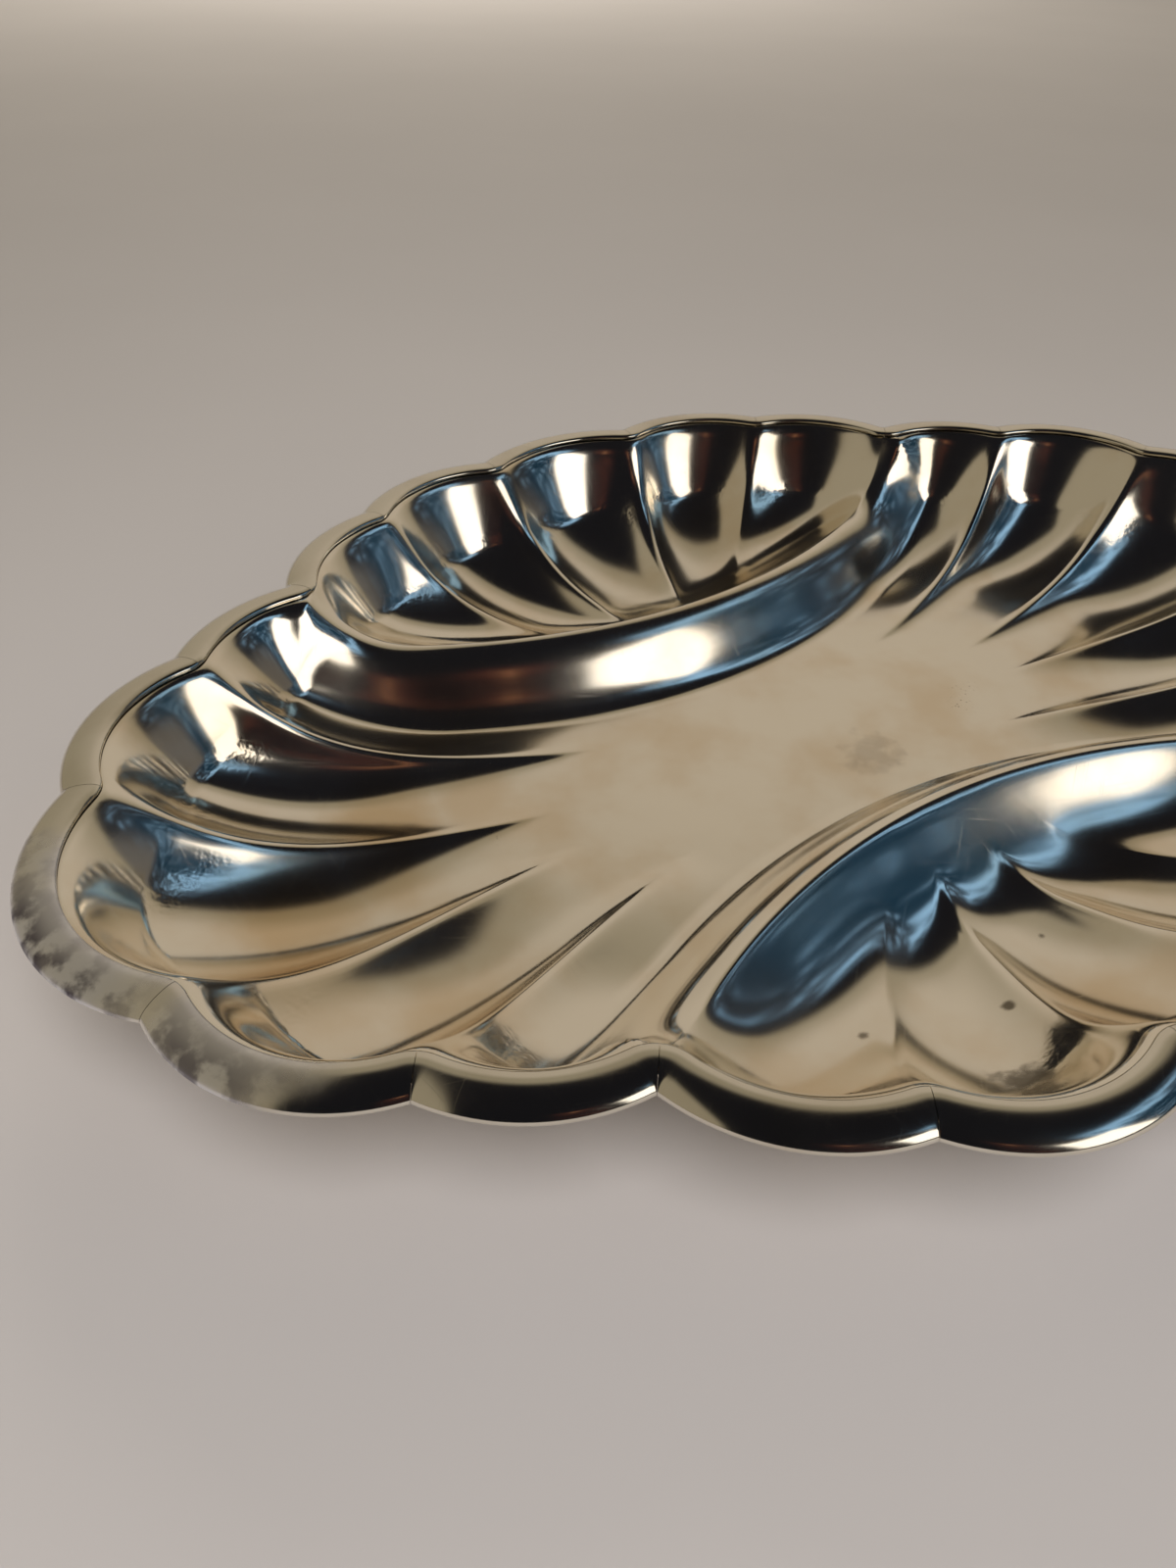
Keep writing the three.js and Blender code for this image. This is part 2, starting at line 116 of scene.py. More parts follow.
@dataclass
class Outline:
    """The scalloped outline: twenty arcs that meet in cusps, the same in all four quarters."""

    fan_centre_x: float = 86.0
    side_centre_y: float = -14.0
    fan_cusps: tuple[Polar, ...] = (Polar(86.1, 21.7), Polar(83.1, 54.4), Polar(86.7, 79.8))
    side_cusps: tuple[Polar, ...] = (Polar(144.9, 28.7), Polar(142.0, 10.2))
    bulges: tuple[float, ...] = (13.9, 8.1, 4.5, 5.7, 7.3, 7.0)
    border_width: float = 8.2
    scallops: list[Scallop] = field(init=False)
    mitres: list[float] = field(init=False)

    def __post_init__(self) -> None:
        """Work out the arcs and the mitre angles once."""
        cusps = self.cusps()
        self.scallops = [self.scallop(cusps, lobe) for lobe in range(len(cusps))]
        self.mitres = [
            bearing(heading(before.end_angle) + heading(after.start_angle))
            for before, after in zip(self.scallops, self.scallops[1:] + self.scallops[:1])
        ]

    @property
    def lobes(self) -> int:
        """Number of scallops round the outline."""
        return len(self.scallops)

    def cusps(self) -> list[np.ndarray]:
        """The cusps, counter-clockwise from the one just above the X axis.

        Returns:
            Plan points in millimetres.
        """
        fan = [heading(math.radians(p.angle)) * p.radius + (self.fan_centre_x, 0) for p in self.fan_cusps]
        side = [
            heading(math.radians(90 - p.angle)) * p.radius + (0, self.side_centre_y)
            for p in self.side_cusps
        ]
        quarter = fan + side
        half = quarter + [point * (-1, 1) for point in reversed(quarter)]
        return half + [-point for point in half]

    def scallop(self, cusps: list[np.ndarray], lobe: int) -> Scallop:
        """Arc of the lobe that ends at the cusp with its number.

        Args:
            cusps: All cusps of the outline.
            lobe: The lobe's number.

        Returns:
            The arc with its centre, radius and end directions.
        """
        start, end = cusps[lobe - 1], cusps[lobe]
        half_turn = len(cusps) // 2
        place = lobe % half_turn
        bulge = self.bulges[min(place, half_turn - place)]
        chord = end - start
        length = float(np.hypot(*chord))
        outward = np.array([chord[1], -chord[0]]) / length
        radius = (length * length / 4 + bulge * bulge) / (2 * bulge)
        centre = (start + end) / 2 + outward * (bulge - radius)
        start_angle = bearing(start - centre)
        sweep = 2 * math.asin(length / (2 * radius))
        return Scallop(start, end, centre, radius, start_angle, start_angle + sweep)

    def spot(self, lobe: int, share: float) -> RimSpot:
        """Place on a lobe by its share of the length along the border's inner edge.

        Args:
            lobe: The lobe's number.
            share: From 0 at its first cusp to 1 at its last.

        Returns:
            The place on the rim.
        """
        arc = self.scallops[lobe % self.lobes]
        first = near_turn(self.mitres[(lobe - 1) % self.lobes], arc.start_angle)
        last = near_turn(self.mitres[lobe % self.lobes], arc.end_angle)
        turns = (
            abs(first - arc.start_angle) * self.border_width,
            (arc.end_angle - arc.start_angle) * (arc.radius - self.border_width),
            abs(last - arc.end_angle) * self.border_width,
        )
        run = share * sum(turns)
        if run < turns[0]:
            return RimSpot(arc.start, 0.0, first + (arc.start_angle - first) * run / turns[0])
        run -= turns[0]
        if run <= turns[1]:
            angle = arc.start_angle + (arc.end_angle - arc.start_angle) * run / turns[1]
            return RimSpot(arc.centre, arc.radius, angle)
        run -= turns[1]
        return RimSpot(arc.end, 0.0, arc.end_angle + (last - arc.end_angle) * min(run / turns[2], 1.0))

    def inner_cusp(self, lobe: int) -> np.ndarray:
        """Inner edge of the border at the cusp that ends a lobe."""
        return self.spot(lobe, 1.0).inset(self.border_width)


class PlanCurve:
    """A cubic plan curve that is read by the distance along it."""

    SAMPLES = 800

    def __init__(self, controls: np.ndarray) -> None:
        """Sample the curve closely enough to read it by length.

        Args:
            controls: Four control points, one per row.
        """
        t = np.linspace(0.0, 1.0, self.SAMPLES + 1)[:, None]
        a, b, c, d = controls
        self.points = (1 - t) ** 3 * a + 3 * (1 - t) ** 2 * t * b + 3 * (1 - t) * t**2 * c + t**3 * d
        steps = np.hypot(*np.diff(self.points, axis=0).T)
        self.runs = np.concatenate([[0.0], np.cumsum(steps)])

    @property
    def length(self) -> float:
        """Length of the curve in millimetres."""
        return float(self.runs[-1])

    def at(self, runs: np.ndarray) -> np.ndarray:
        """Points at the given distances along the curve."""
        return np.stack([np.interp(runs, self.runs, self.points[:, axis]) for axis in (0, 1)], axis=1)

    def run_at_x(self, x: float) -> float:
        """Distance along the curve to the place with this X, on a curve whose X falls."""
        return float(np.interp(-x, -self.points[:, 0], self.runs))

    def nearest(self, points: np.ndarray) -> tuple[np.ndarray, np.ndarray]:
        """Nearest place on the curve for each point.

        Args:
            points: Plan points, one per row.

        Returns:
            The distance to the curve, and the run along it, for each point.
        """
        starts, steps = self.points[:-1], np.diff(self.points, axis=0)
        squares = (steps**2).sum(axis=1)
        distances, runs = np.empty(len(points)), np.empty(len(points))
        for row, point in enumerate(points):
            shares = np.clip(((point - starts) * steps).sum(axis=1) / squares, 0.0, 1.0)
            gaps = np.hypot(*(starts + steps * shares[:, None] - point).T)
            best = int(np.argmin(gaps))
            distances[row] = gaps[best]
            runs[row] = self.runs[best] + shares[best] * math.sqrt(squares[best])
        return distances, runs


@dataclass(frozen=True)
class RidgePlan:
    """Plan of a fan ridge: how it leaves the rim, and where it reaches the waist line."""

    lead: tuple[float, float]
    approach: tuple[float, float]
    waist_y: float

    def controls(self, start: np.ndarray) -> np.ndarray:
        """Control points of the ridge from its start on the rim."""
        return np.array([start, start + self.lead, self.approach, (0.0, self.waist_y)])


class Canvas:
    """A node tree of any kind, in which values are written as arithmetic."""

    def __init__(self, tree: bpy.types.NodeTree) -> None:
        """Work on a node tree.

        Args:
            tree: The tree to add nodes to.
        """
        self.tree = tree

    def node(self, kind: str, **settings: object) -> bpy.types.Node:
        """Add a node and set its properties.

        Args:
            kind: The node's type.
            settings: Its properties by name.

        Returns:
            The node.
        """
        node = self.tree.nodes.new(kind)
        for key, setting in settings.items():
            setattr(node, key, setting)
        return node

    def feed(self, value: object, slot: bpy.types.NodeSocket) -> None:
        """Link a socket to an input, or set the input's own value.

        Args:
            value: A socket, or a plain value.
            slot: The input.
        """
        if isinstance(value, bpy.types.NodeSocket):
            self.tree.links.new(value, slot)
        else:
            slot.default_value = value

    def math(self, operation: str, *values: Value) -> bpy.types.NodeSocket:
        """Arithmetic on sockets and numbers.

        Args:
            operation: Name of the Math node's operation.
            values: Its operands.

        Returns:
            The result's socket.
        """
        node = self.node("ShaderNodeMath", operation=operation)
        for value, slot in zip(values, node.inputs):
            self.feed(value, slot)
        return node.outputs[0]

    def product(self, *values: Value) -> bpy.types.NodeSocket:
        """Product of two or more values.

        Args:
            values: The factors.

        Returns:
            The product's socket.
        """
        result = values[0]
        for value in values[1:]:
            result = self.math("MULTIPLY", result, value)
        return result

    def mix(self, low: Value, high: Value, share: Value) -> bpy.types.NodeSocket:
        """Blend of two values by a share from 0 to 1."""
        return self.math("ADD", low, self.math("MULTIPLY", self.math("SUBTRACT", high, low), share))


class Tree(Canvas):
    """A Geometry Nodes tree on one mesh, with named sizes."""

    def __init__(self, name: str) -> None:
        """Start a tree with a geometry input and output.

        Args:
            name: Name of the node group.
        """
        super().__init__(bpy.data.node_groups.new(name, "GeometryNodeTree"))
        self.tree.interface.new_socket("Geometry", in_out="INPUT", socket_type="NodeSocketGeometry")
        self.tree.interface.new_socket("Geometry", in_out="OUTPUT", socket_type="NodeSocketGeometry")
        self.source = self.node("NodeGroupInput")
        self.sizes: dict[str, float] = {}

    def size(self, name: str, value: float) -> bpy.types.NodeSocket:
        """Add a named input and note the value that the modifier gets.

        Args:
            name: Name of the input.
            value: Its value, in metres or as a plain number.

        Returns:
            The input's socket inside the tree.
        """
        socket = self.tree.interface.new_socket(name, in_out="INPUT", socket_type="NodeSocketFloat")
        self.sizes[socket.identifier] = value
        return self.source.outputs[name]

    def attribute(self, name: str) -> bpy.types.NodeSocket:
        """Number that the mesh carries at each vertex under a name.

        Args:
            name: Name of the attribute.

        Returns:
            The number's socket.
        """
        node = self.node("GeometryNodeInputNamedAttribute", data_type="FLOAT")
        node.inputs["Name"].default_value = name
        return node.outputs["Attribute"]

    def store(self, geometry: bpy.types.NodeSocket, name: str, value: Value) -> bpy.types.NodeSocket:
        """Keep a field on the mesh under a name, for the finish to read.

        Args:
            geometry: The mesh.
            name: Name of the attribute.
            value: The field.

        Returns:
            The mesh with the attribute.
        """
        node = self.node("GeometryNodeStoreNamedAttribute", data_type="FLOAT", domain="POINT")
        node.inputs["Name"].default_value = name
        self.feed(geometry, node.inputs["Geometry"])
        self.feed(value, node.inputs["Value"])
        return node.outputs["Geometry"]

    def raised(self, geometry: bpy.types.NodeSocket, height: Value) -> bpy.types.NodeSocket:
        """Lift each vertex by a field.

        Args:
            geometry: The mesh.
            height: The lift in metres.

        Returns:
            The lifted mesh.
        """
        offset = self.node("ShaderNodeCombineXYZ")
        self.feed(height, offset.inputs["Z"])
        node = self.node("GeometryNodeSetPosition")
        self.feed(geometry, node.inputs["Geometry"])
        self.feed(offset.outputs["Vector"], node.inputs["Offset"])
        return node.outputs["Geometry"]

    def finish(self, geometry: bpy.types.NodeSocket, material: bpy.types.Material, sharp: float) -> None:
        """Shade the result smooth up to an angle, give it its material and close the tree.

        Args:
            geometry: The finished geometry.
            material: Its material.
            sharp: Edges that turn more than this many degrees stay sharp.
        """
        smooth = self.node("GeometryNodeSetShadeSmooth", domain="FACE")
        self.feed(geometry, smooth.inputs["Geometry"])
        turn = self.node("GeometryNodeInputMeshEdgeAngle")
        creased = self.node("GeometryNodeSetShadeSmooth", domain="EDGE")
        self.feed(smooth.outputs["Geometry"], creased.inputs["Geometry"])
        wide = self.node("FunctionNodeCompare", data_type="FLOAT", operation="GREATER_THAN")
        self.feed(turn.outputs["Unsigned Angle"], wide.inputs["A"])
        wide.inputs["B"].default_value = math.radians(sharp)
        self.feed(wide.outputs["Result"], creased.inputs["Selection"])
        creased.inputs["Shade Smooth"].default_value = False
        realized = self.node("GeometryNodeRealizeInstances")
        self.feed(creased.outputs["Geometry"], realized.inputs["Geometry"])
        dressed = self.node("GeometryNodeSetMaterial")
        self.feed(realized.outputs["Geometry"], dressed.inputs["Geometry"])
        dressed.inputs["Material"].default_value = material
        result = self.node("NodeGroupOutput")
        self.feed(dressed.outputs["Geometry"], result.inputs["Geometry"])

    def apply(self, blank: bpy.types.Object, thickness: float = 0.0) -> None:
        """Run the tree on a blank and keep the result as its plain mesh.

        Args:
            blank: The object to shape.
            thickness: Depth in metres of a sheet that is thickened below its surface, or 0 for none.
        """
        shaping = blank.modifiers.new(self.tree.name, "NODES")
        shaping.node_group = self.tree
        for identifier, value in self.sizes.items():
            shaping[identifier] = value
        if thickness:
            sheet = blank.modifiers.new("sheet", "SOLIDIFY")
            sheet.thickness = thickness
            sheet.offset = -1.0
            sheet.use_rim = True
        graph = bpy.context.evaluated_depsgraph_get()
        mesh = bpy.data.meshes.new_from_object(
            blank.evaluated_get(graph), preserve_all_data_layers=True, depsgraph=graph
        )
        blank.modifiers.clear()
        flat = blank.data
        blank.data = mesh
        bpy.data.meshes.remove(flat)
        mesh.name = blank.name


class Blank:
    """A flat lattice of plan points with numbers on them, from which a piece is pressed."""

    STEPS_PER_MM = 2000

    def __init__(self, names: Iterable[str]) -> None:
        """Start an empty lattice.

        Args:
            names: Names of the numbers that every point carries.
        """
        self.points: list[tuple[float, float]] = []
        self.values: dict[str, list[float]] = {name: [] for name in names}
        self.faces: list[tuple[int, ...]] = []
        self.known: dict[tuple[int, ...], int] = {}

    def vertex(self, point: np.ndarray, row: int = 0, **numbers: float) -> int:
        """Add a point, or find the one that is already there.

        Args:
            point: Plan point in millimetres.
            row: Tells points apart that share a place in plan.
            numbers: The numbers that the point carries.

        Returns:
            The point's index.
        """
        key = (round(point[0] * self.STEPS_PER_MM), round(point[1] * self.STEPS_PER_MM), row)
        if key not in self.known:
            self.known[key] = len(self.points)
            self.points.append((float(point[0]), float(point[1])))
            for name, values in self.values.items():
                values.append(float(numbers.get(name, 0.0)))
        return self.known[key]

    def fill(self, rows: list[list[int]], turned: bool = False) -> None:
        """Face the cells between rows of points.

        Args:
            rows: Rows of indices, all of one length.
            turned: Whether the rows run clockwise, so that the faces are turned over.
        """
        for lower, upper in zip(rows, rows[1:]):
            for k in range(len(lower) - 1):
                corners = list(dict.fromkeys((lower[k], lower[k + 1], upper[k + 1], upper[k])))
                if len(corners) > 2:
                    self.faces.append(tuple(reversed(corners)) if turned else tuple(corners))

    def object(self, name: str) -> bpy.types.Object:
        """Make the lattice a flat mesh object in metres.

        Args:
            name: Name of the object.

        Returns:
            The object, linked to the scene.
        """
        mesh = bpy.data.meshes.new(name)
        mesh.from_pydata([(x * MM, y * MM, 0.0) for x, y in self.points], [], self.faces)
        for key, values in self.values.items():
            layer = mesh.attributes.new(key, "FLOAT", "POINT")
            layer.data.foreach_set("value", np.array(values, dtype=np.float32))
        mesh.update()
        piece = bpy.data.objects.new(name, mesh)
        bpy.context.scene.collection.objects.link(piece)
        return piece


@dataclass
class PressedTray:
    """The pressed sheet: two fluted fans that share a floor, and a fluted compartment past each divider."""

    outline: Outline
    sheet: float = 1.0
    seat_height: float = SEAT_HEIGHT
    flange_inset: float = 3.1
    lip_rounding: float = 3.0
    fan_flute_run: float = 52.0
    side_flute_run: float = 48.0
    flute_power: float = 2.2
    brink_run: float = 9.5
    brink_height: float = 12.5
    ridge_run: float = 100.0
    fan_ridge_power: float = 5.5
    side_ridge_power: float = 8.5
    rib_height: float = 7.7
    fan_rib_run: float = 86.0
    side_rib_run: float = 58.0
    flute_roundness: float = 2.2
    rim_roundness: float = 2.0
    rounding_run: float = 50.0
    ridge_rounding: float = 0.9
    tip_ridge: RidgePlan = RidgePlan((-45.0, -17.0), (55.0, 2.0), 4.0)
    shoulder_ridge: RidgePlan = RidgePlan((-26.0, -23.0), (45.0, 17.0), 14.0)
    divider_crest: RidgePlan = RidgePlan((-30.0, -21.6), (32.0, 47.2), 47.2)
    side_ridge_end_x: float = 15.0
    middle_ridge_end_x: float = 5.0
    corner_crowding: float = 1.3
    divider_height: float = 15.5
    fan_foot: float = 19.0
    side_foot: float = 28.0
    fan_foot_power: float = 1.0
    side_foot_power: float = 0.62
    divider_end_run: float = 30.0
    divider_end_power: float = 3.0
    fan_first_lobe: int = -2
    side_first_lobe: int = 3
    compartment_lobes: int = 5
    lobe_columns: int = 28
    column_crowding: float = 0.6
    corner_columns: int = 46
    side_rows: int = 46
    side_row_power: float = 1.25
    wall_run: float = 32.0
    least_half_width: float = 0.5
    sharp_edge: float = 50.0

    def __post_init__(self) -> None:
        """Lay out the ridges in plan."""
        plans = (self.tip_ridge, self.shoulder_ridge, self.divider_crest)
        upper = [plan.controls(self.outline.inner_cusp(lobe)) for lobe, plan in enumerate(plans)]
        lower = [controls * (1, -1) for controls in reversed(upper)]
        self.fan_ridges = lower + upper
        self.crest = PlanCurve(upper[-1])

    @property
    def depth(self) -> float:
        """Height of the edge over the floor, on the sheet's upper side."""
        return self.seat_height - self.sheet

    def lobe_shares(self) -> np.ndarray:
        """Columns across one lobe, closer together towards its ridges."""
        even = np.linspace(0.0, 1.0, self.lobe_columns + 1)
        return even + self.column_crowding * ((1 - np.cos(math.pi * even)) / 2 - even)

    def half_side_places(self) -> np.ndarray:
        """Columns of a side compartment from the divider's end to its middle, counted in lobes.

        Returns:
            The columns' places.
        """
        corner = np.linspace(0.0, 1.0, self.corner_columns + 1)
        shares = self.lobe_shares()
        half = shares[: self.lobe_columns // 2 + 1]
        return np.concatenate([corner, 1 + shares[1:], 2 + half[1:]])

    def crest_run(self, place: float) -> float:
        """Distance along the divider's crest at which a side column ends.

        Args:
            place: The column's place in lobes from the nearer end of the compartment.

        Returns:
            Distance in millimetres from the crest's end at the rim.
        """
        side_run = self.crest.run_at_x(self.side_ridge_end_x)
        middle_run = self.crest.run_at_x(self.middle_ridge_end_x)
        middle = self.compartment_lobes / 2
        if place <= 1:
            return side_run * place**self.corner_crowding
        return float(np.interp(place, (1.0, 2.0, middle), (side_run, middle_run, self.crest.length)))

    def stations(self) -> np.ndarray:
        """Rows of a fan, as distances along the divider's crest."""
        return np.array([self.crest_run(place) for place in self.half_side_places()])

    def fan_column(self, lobe: int, share: float) -> tuple[np.ndarray, np.ndarray]:
        """Plan points of one column of the right fan from the rim to the waist.

        Args:
            lobe: Lobe within the fan.
            share: Place across the lobe from 0 to 1.

        Returns:
            The points, and their distances from the rim.
        """
        low, high = self.fan_ridges[lobe], self.fan_ridges[lobe + 1]
        controls = low + (high - low) * share
        start = self.outline.spot(self.fan_first_lobe + lobe, share).inset(self.outline.border_width)
        controls[:2] += start - controls[0]
        curve = PlanCurve(controls)
        stations = self.stations()
        inner = (stations - self.wall_run) / (self.crest.length - self.wall_run)
        stretched = self.wall_run + inner * (curve.length - self.wall_run)
        runs = np.where(stations < self.wall_run, stations, stretched)
        return curve.at(runs), runs

    def side_column(self, lobe: int, share: float) -> tuple[np.ndarray, np.ndarray]:
        """Plan points of one column of the back compartment from the rim to the divider's crest.

        Args:
            lobe: Lobe within the compartment.
            share: Place across the lobe from 0 to 1.

        Returns:
            The points, and their distances from the rim.
        """
        place = lobe + share
        nearer = min(place, self.compartment_lobes - place)
        end = self.crest.at(np.array([self.crest_run(nearer)]))[0]
        if place > self.compartment_lobes / 2:
            end = end * (-1, 1)
        start = self.outline.spot(self.side_first_lobe + lobe, share).inset(self.outline.border_width)
        shares = np.linspace(0.0, 1.0, self.side_rows + 1) ** self.side_row_power
        return start + (end - start) * shares[:, None], shares * float(np.hypot(*(end - start)))

    def lay_out(
        self,
        blank: Blank,
        column: Callable[[int, float], tuple[np.ndarray, np.ndarray]],
        shares: Callable[[int], np.ndarray],
        first_lobe: int,
        sizes: tuple[float, float, float, float, float],
        mirror: tuple[int, int],
    ) -> None:
        """Add one compartment and its mirror image to the blank.

        Args:
            blank: The lattice to add to.
            column: Gives a column's points and distances from the rim.
            shares: Gives the columns' places across a lobe.
            first_lobe: The compartment's first lobe on the outline.
            sizes: How far from the rim its flutes reach the floor and its ribs fade out, the power
                that steepens its ridges under the rim, how far from the crest the divider's foot
                reaches, and the power that spreads the foot.
            mirror: Signs of X and Y that turn the compartment into its mirror image.
        """
        plans, numbers = [], []
        last = self.compartment_lobes - 1
        flute_run, rib_run, ridge_power, foot, foot_power = sizes
        for lobe in range(self.compartment_lobes):
            half_width = np.hypot(*(column(lobe, 1.0)[0] - column(lobe, 0.0)[0]).T) / 2
            for share in shares(lobe)[0 if lobe == 0 else 1 :]:
                points, runs = column(lobe, float(share))
                across = 2 * float(share) - 1
                ridge = float(lobe > 0) if across < 0 else float(lobe < last)
                gaps, crest_runs = self.crest.nearest(np.abs(points))
                flange = self.outline.spot(first_lobe + lobe, float(share)).inset(self.flange_inset)
                plans.append(np.vstack([flange, points]))
                numbers.append([{}] + [
                    {
                        "run": run * MM,
                        "across": abs(across),
                        "ridge": ridge,
                        "half_width": width * MM,
                        "crest_share": min(gap / foot, 1.0) ** foot_power,
                        "crest_run": crest_run * MM,
                        "flute_run": flute_run * MM,
                        "rib_run": rib_run * MM,
                        "ridge_power": ridge_power,
                    }
                    for run, width, gap, crest_run in zip(runs, half_width, gaps, crest_runs)
                ])
        for signs in ((1, 1), mirror):
            columns = [
                [blank.vertex(point * signs, **values) for point, values in zip(plan, carried)]
                for plan, carried in zip(plans, numbers)
            ]
            blank.fill([list(row) for row in zip(*columns)], turned=signs != (1, 1))

    def fan_shares(self, lobe: int) -> np.ndarray:
        """Columns across one lobe of a fan, the same in all of them."""
        return self.lobe_shares()

    def side_shares(self, lobe: int) -> np.ndarray:
        """Columns across one lobe of a side compartment, which meet the fans' rows on the crest."""
        corner = np.linspace(0.0, 1.0, self.corner_columns + 1)
        return corner if lobe in (0, self.compartment_lobes - 1) else self.lobe_shares()

    def press(self, material: bpy.types.Material) -> Tree:
        """Tree that raises the flat blank into the tray.

        Args:
            material: The sheet's material.

        Returns:
            The tree, with its sizes as inputs.
        """
        tree = Tree("press")
        seat = tree.size("Seat Height", self.seat_height * MM)
        depth = tree.size("Depth", self.depth * MM)
        lip = tree.size("Lip Rounding", self.lip_rounding * MM)
        flute_power = tree.size("Flute Power", self.flute_power)
        brink_run = tree.size("Brink Run", self.brink_run * MM)
        brink_share = tree.size("Brink Share", self.brink_height / self.depth)
        ridge_run = tree.size("Ridge Run", self.ridge_run * MM)
        rib_share = tree.size("Rib Share", self.rib_height / self.depth)
        roundness = tree.size("Flute Roundness", self.flute_roundness)
        rim_roundness = tree.size("Rim Roundness", self.rim_roundness)
        rounding_run = tree.size("Rounding Run", self.rounding_run * MM)
        rounding = tree.size("Ridge Rounding", self.ridge_rounding * MM)
        crest_drop = tree.size("Crest Drop", (self.depth - self.divider_height) * MM)
        end_run = tree.size("Divider End Run", self.divider_end_run * MM)
        end_power = tree.size("Divider End Power", self.divider_end_power)

        def fall(run: Value, length: Value, power: Value) -> bpy.types.NodeSocket:
            """Share of a descent after a run, steep at first and level at its length."""
            left = tree.math("SUBTRACT", 1.0, tree.math("MINIMUM", tree.math("DIVIDE", run, length), 1.0))
            return tree.math("SUBTRACT", 1.0, tree.math("POWER", left, power))

        def eased(length: Value, radius: Value) -> bpy.types.NodeSocket:
            """A length that starts with a rounded corner of this size."""
            square = tree.math("ADD", tree.product(length, length), tree.product(radius, radius))
            return tree.math("SUBTRACT", tree.math("SQRT", square), radius)

        run = eased(tree.attribute("run"), lip)
        from_ridge = tree.math("SUBTRACT", 1.0, tree.attribute("across"))
        lobe_half = tree.math("MAXIMUM", tree.attribute("half_width"), self.least_half_width * MM)
        rounded = eased(from_ridge, tree.math("DIVIDE", rounding, lobe_half))
        inward = tree.math("MINIMUM", tree.math("DIVIDE", run, rounding_run), 1.0)
        power = tree.mix(rim_roundness, roundness, inward)
        shoulder = tree.math("POWER", tree.math("MAXIMUM", tree.math("SUBTRACT", 1.0, rounded), 0.0), power)
        shoulder = tree.math("MULTIPLY", shoulder, tree.attribute("ridge"))
        rib_run = tree.math("MAXIMUM", tree.attribute("rib_run"), lip)
        steep = fall(run, ridge_run, tree.attribute("ridge_power"))
        ridge = tree.mix(steep, fall(run, rib_run, 1.0), rib_share)
        flute_run = tree.math("MAXIMUM", tree.attribute("flute_run"), lip)
        flute = tree.mix(fall(run, flute_run, flute_power), fall(run, brink_run, 1.0), brink_share)
        descent = tree.mix(flute, ridge, shoulder)
        bowl = tree.math("SUBTRACT", seat, tree.math("MULTIPLY", depth, descent))
        crest = tree.math("MULTIPLY", crest_drop, fall(tree.attribute("crest_run"), end_run, end_power))
        crest = tree.math("SUBTRACT", seat, crest)
        wave = tree.math("COSINE", tree.math("MULTIPLY", tree.attribute("crest_share"), math.pi))
        blend = tree.math("MULTIPLY", tree.math("ADD", wave, 1.0), 0.5)
        shaped = tree.raised(tree.source.outputs["Geometry"], tree.mix(bowl, crest, blend))
        shaped = tree.store(shaped, "descent", descent)
        shaped = tree.store(shaped, "shoulder", shoulder)
        tree.finish(shaped, material, self.sharp_edge)
        return tree

    def build(self, material: bpy.types.Material) -> bpy.types.Object:
        """Press the tray.

        Args:
            material: The sheet's material.

        Returns:
            The finished piece.
        """
        lengths = ("run", "half_width", "crest_run", "flute_run", "rib_run")
        blank = Blank((*lengths, "across", "ridge", "crest_share", "ridge_power"))
        fan = (
            self.fan_flute_run, self.fan_rib_run, self.fan_ridge_power,
            self.fan_foot, self.fan_foot_power,
        )
        side = (
            self.side_flute_run, self.side_rib_run, self.side_ridge_power,
            self.side_foot, self.side_foot_power,
        )
        self.lay_out(blank, self.fan_column, self.fan_shares, self.fan_first_lobe, fan, (-1, 1))
        self.lay_out(blank, self.side_column, self.side_shares, self.side_first_lobe, side, (1, -1))
        piece = blank.object("tray_sheet")
        self.press(material).apply(piece, thickness=self.sheet * MM)
        return piece


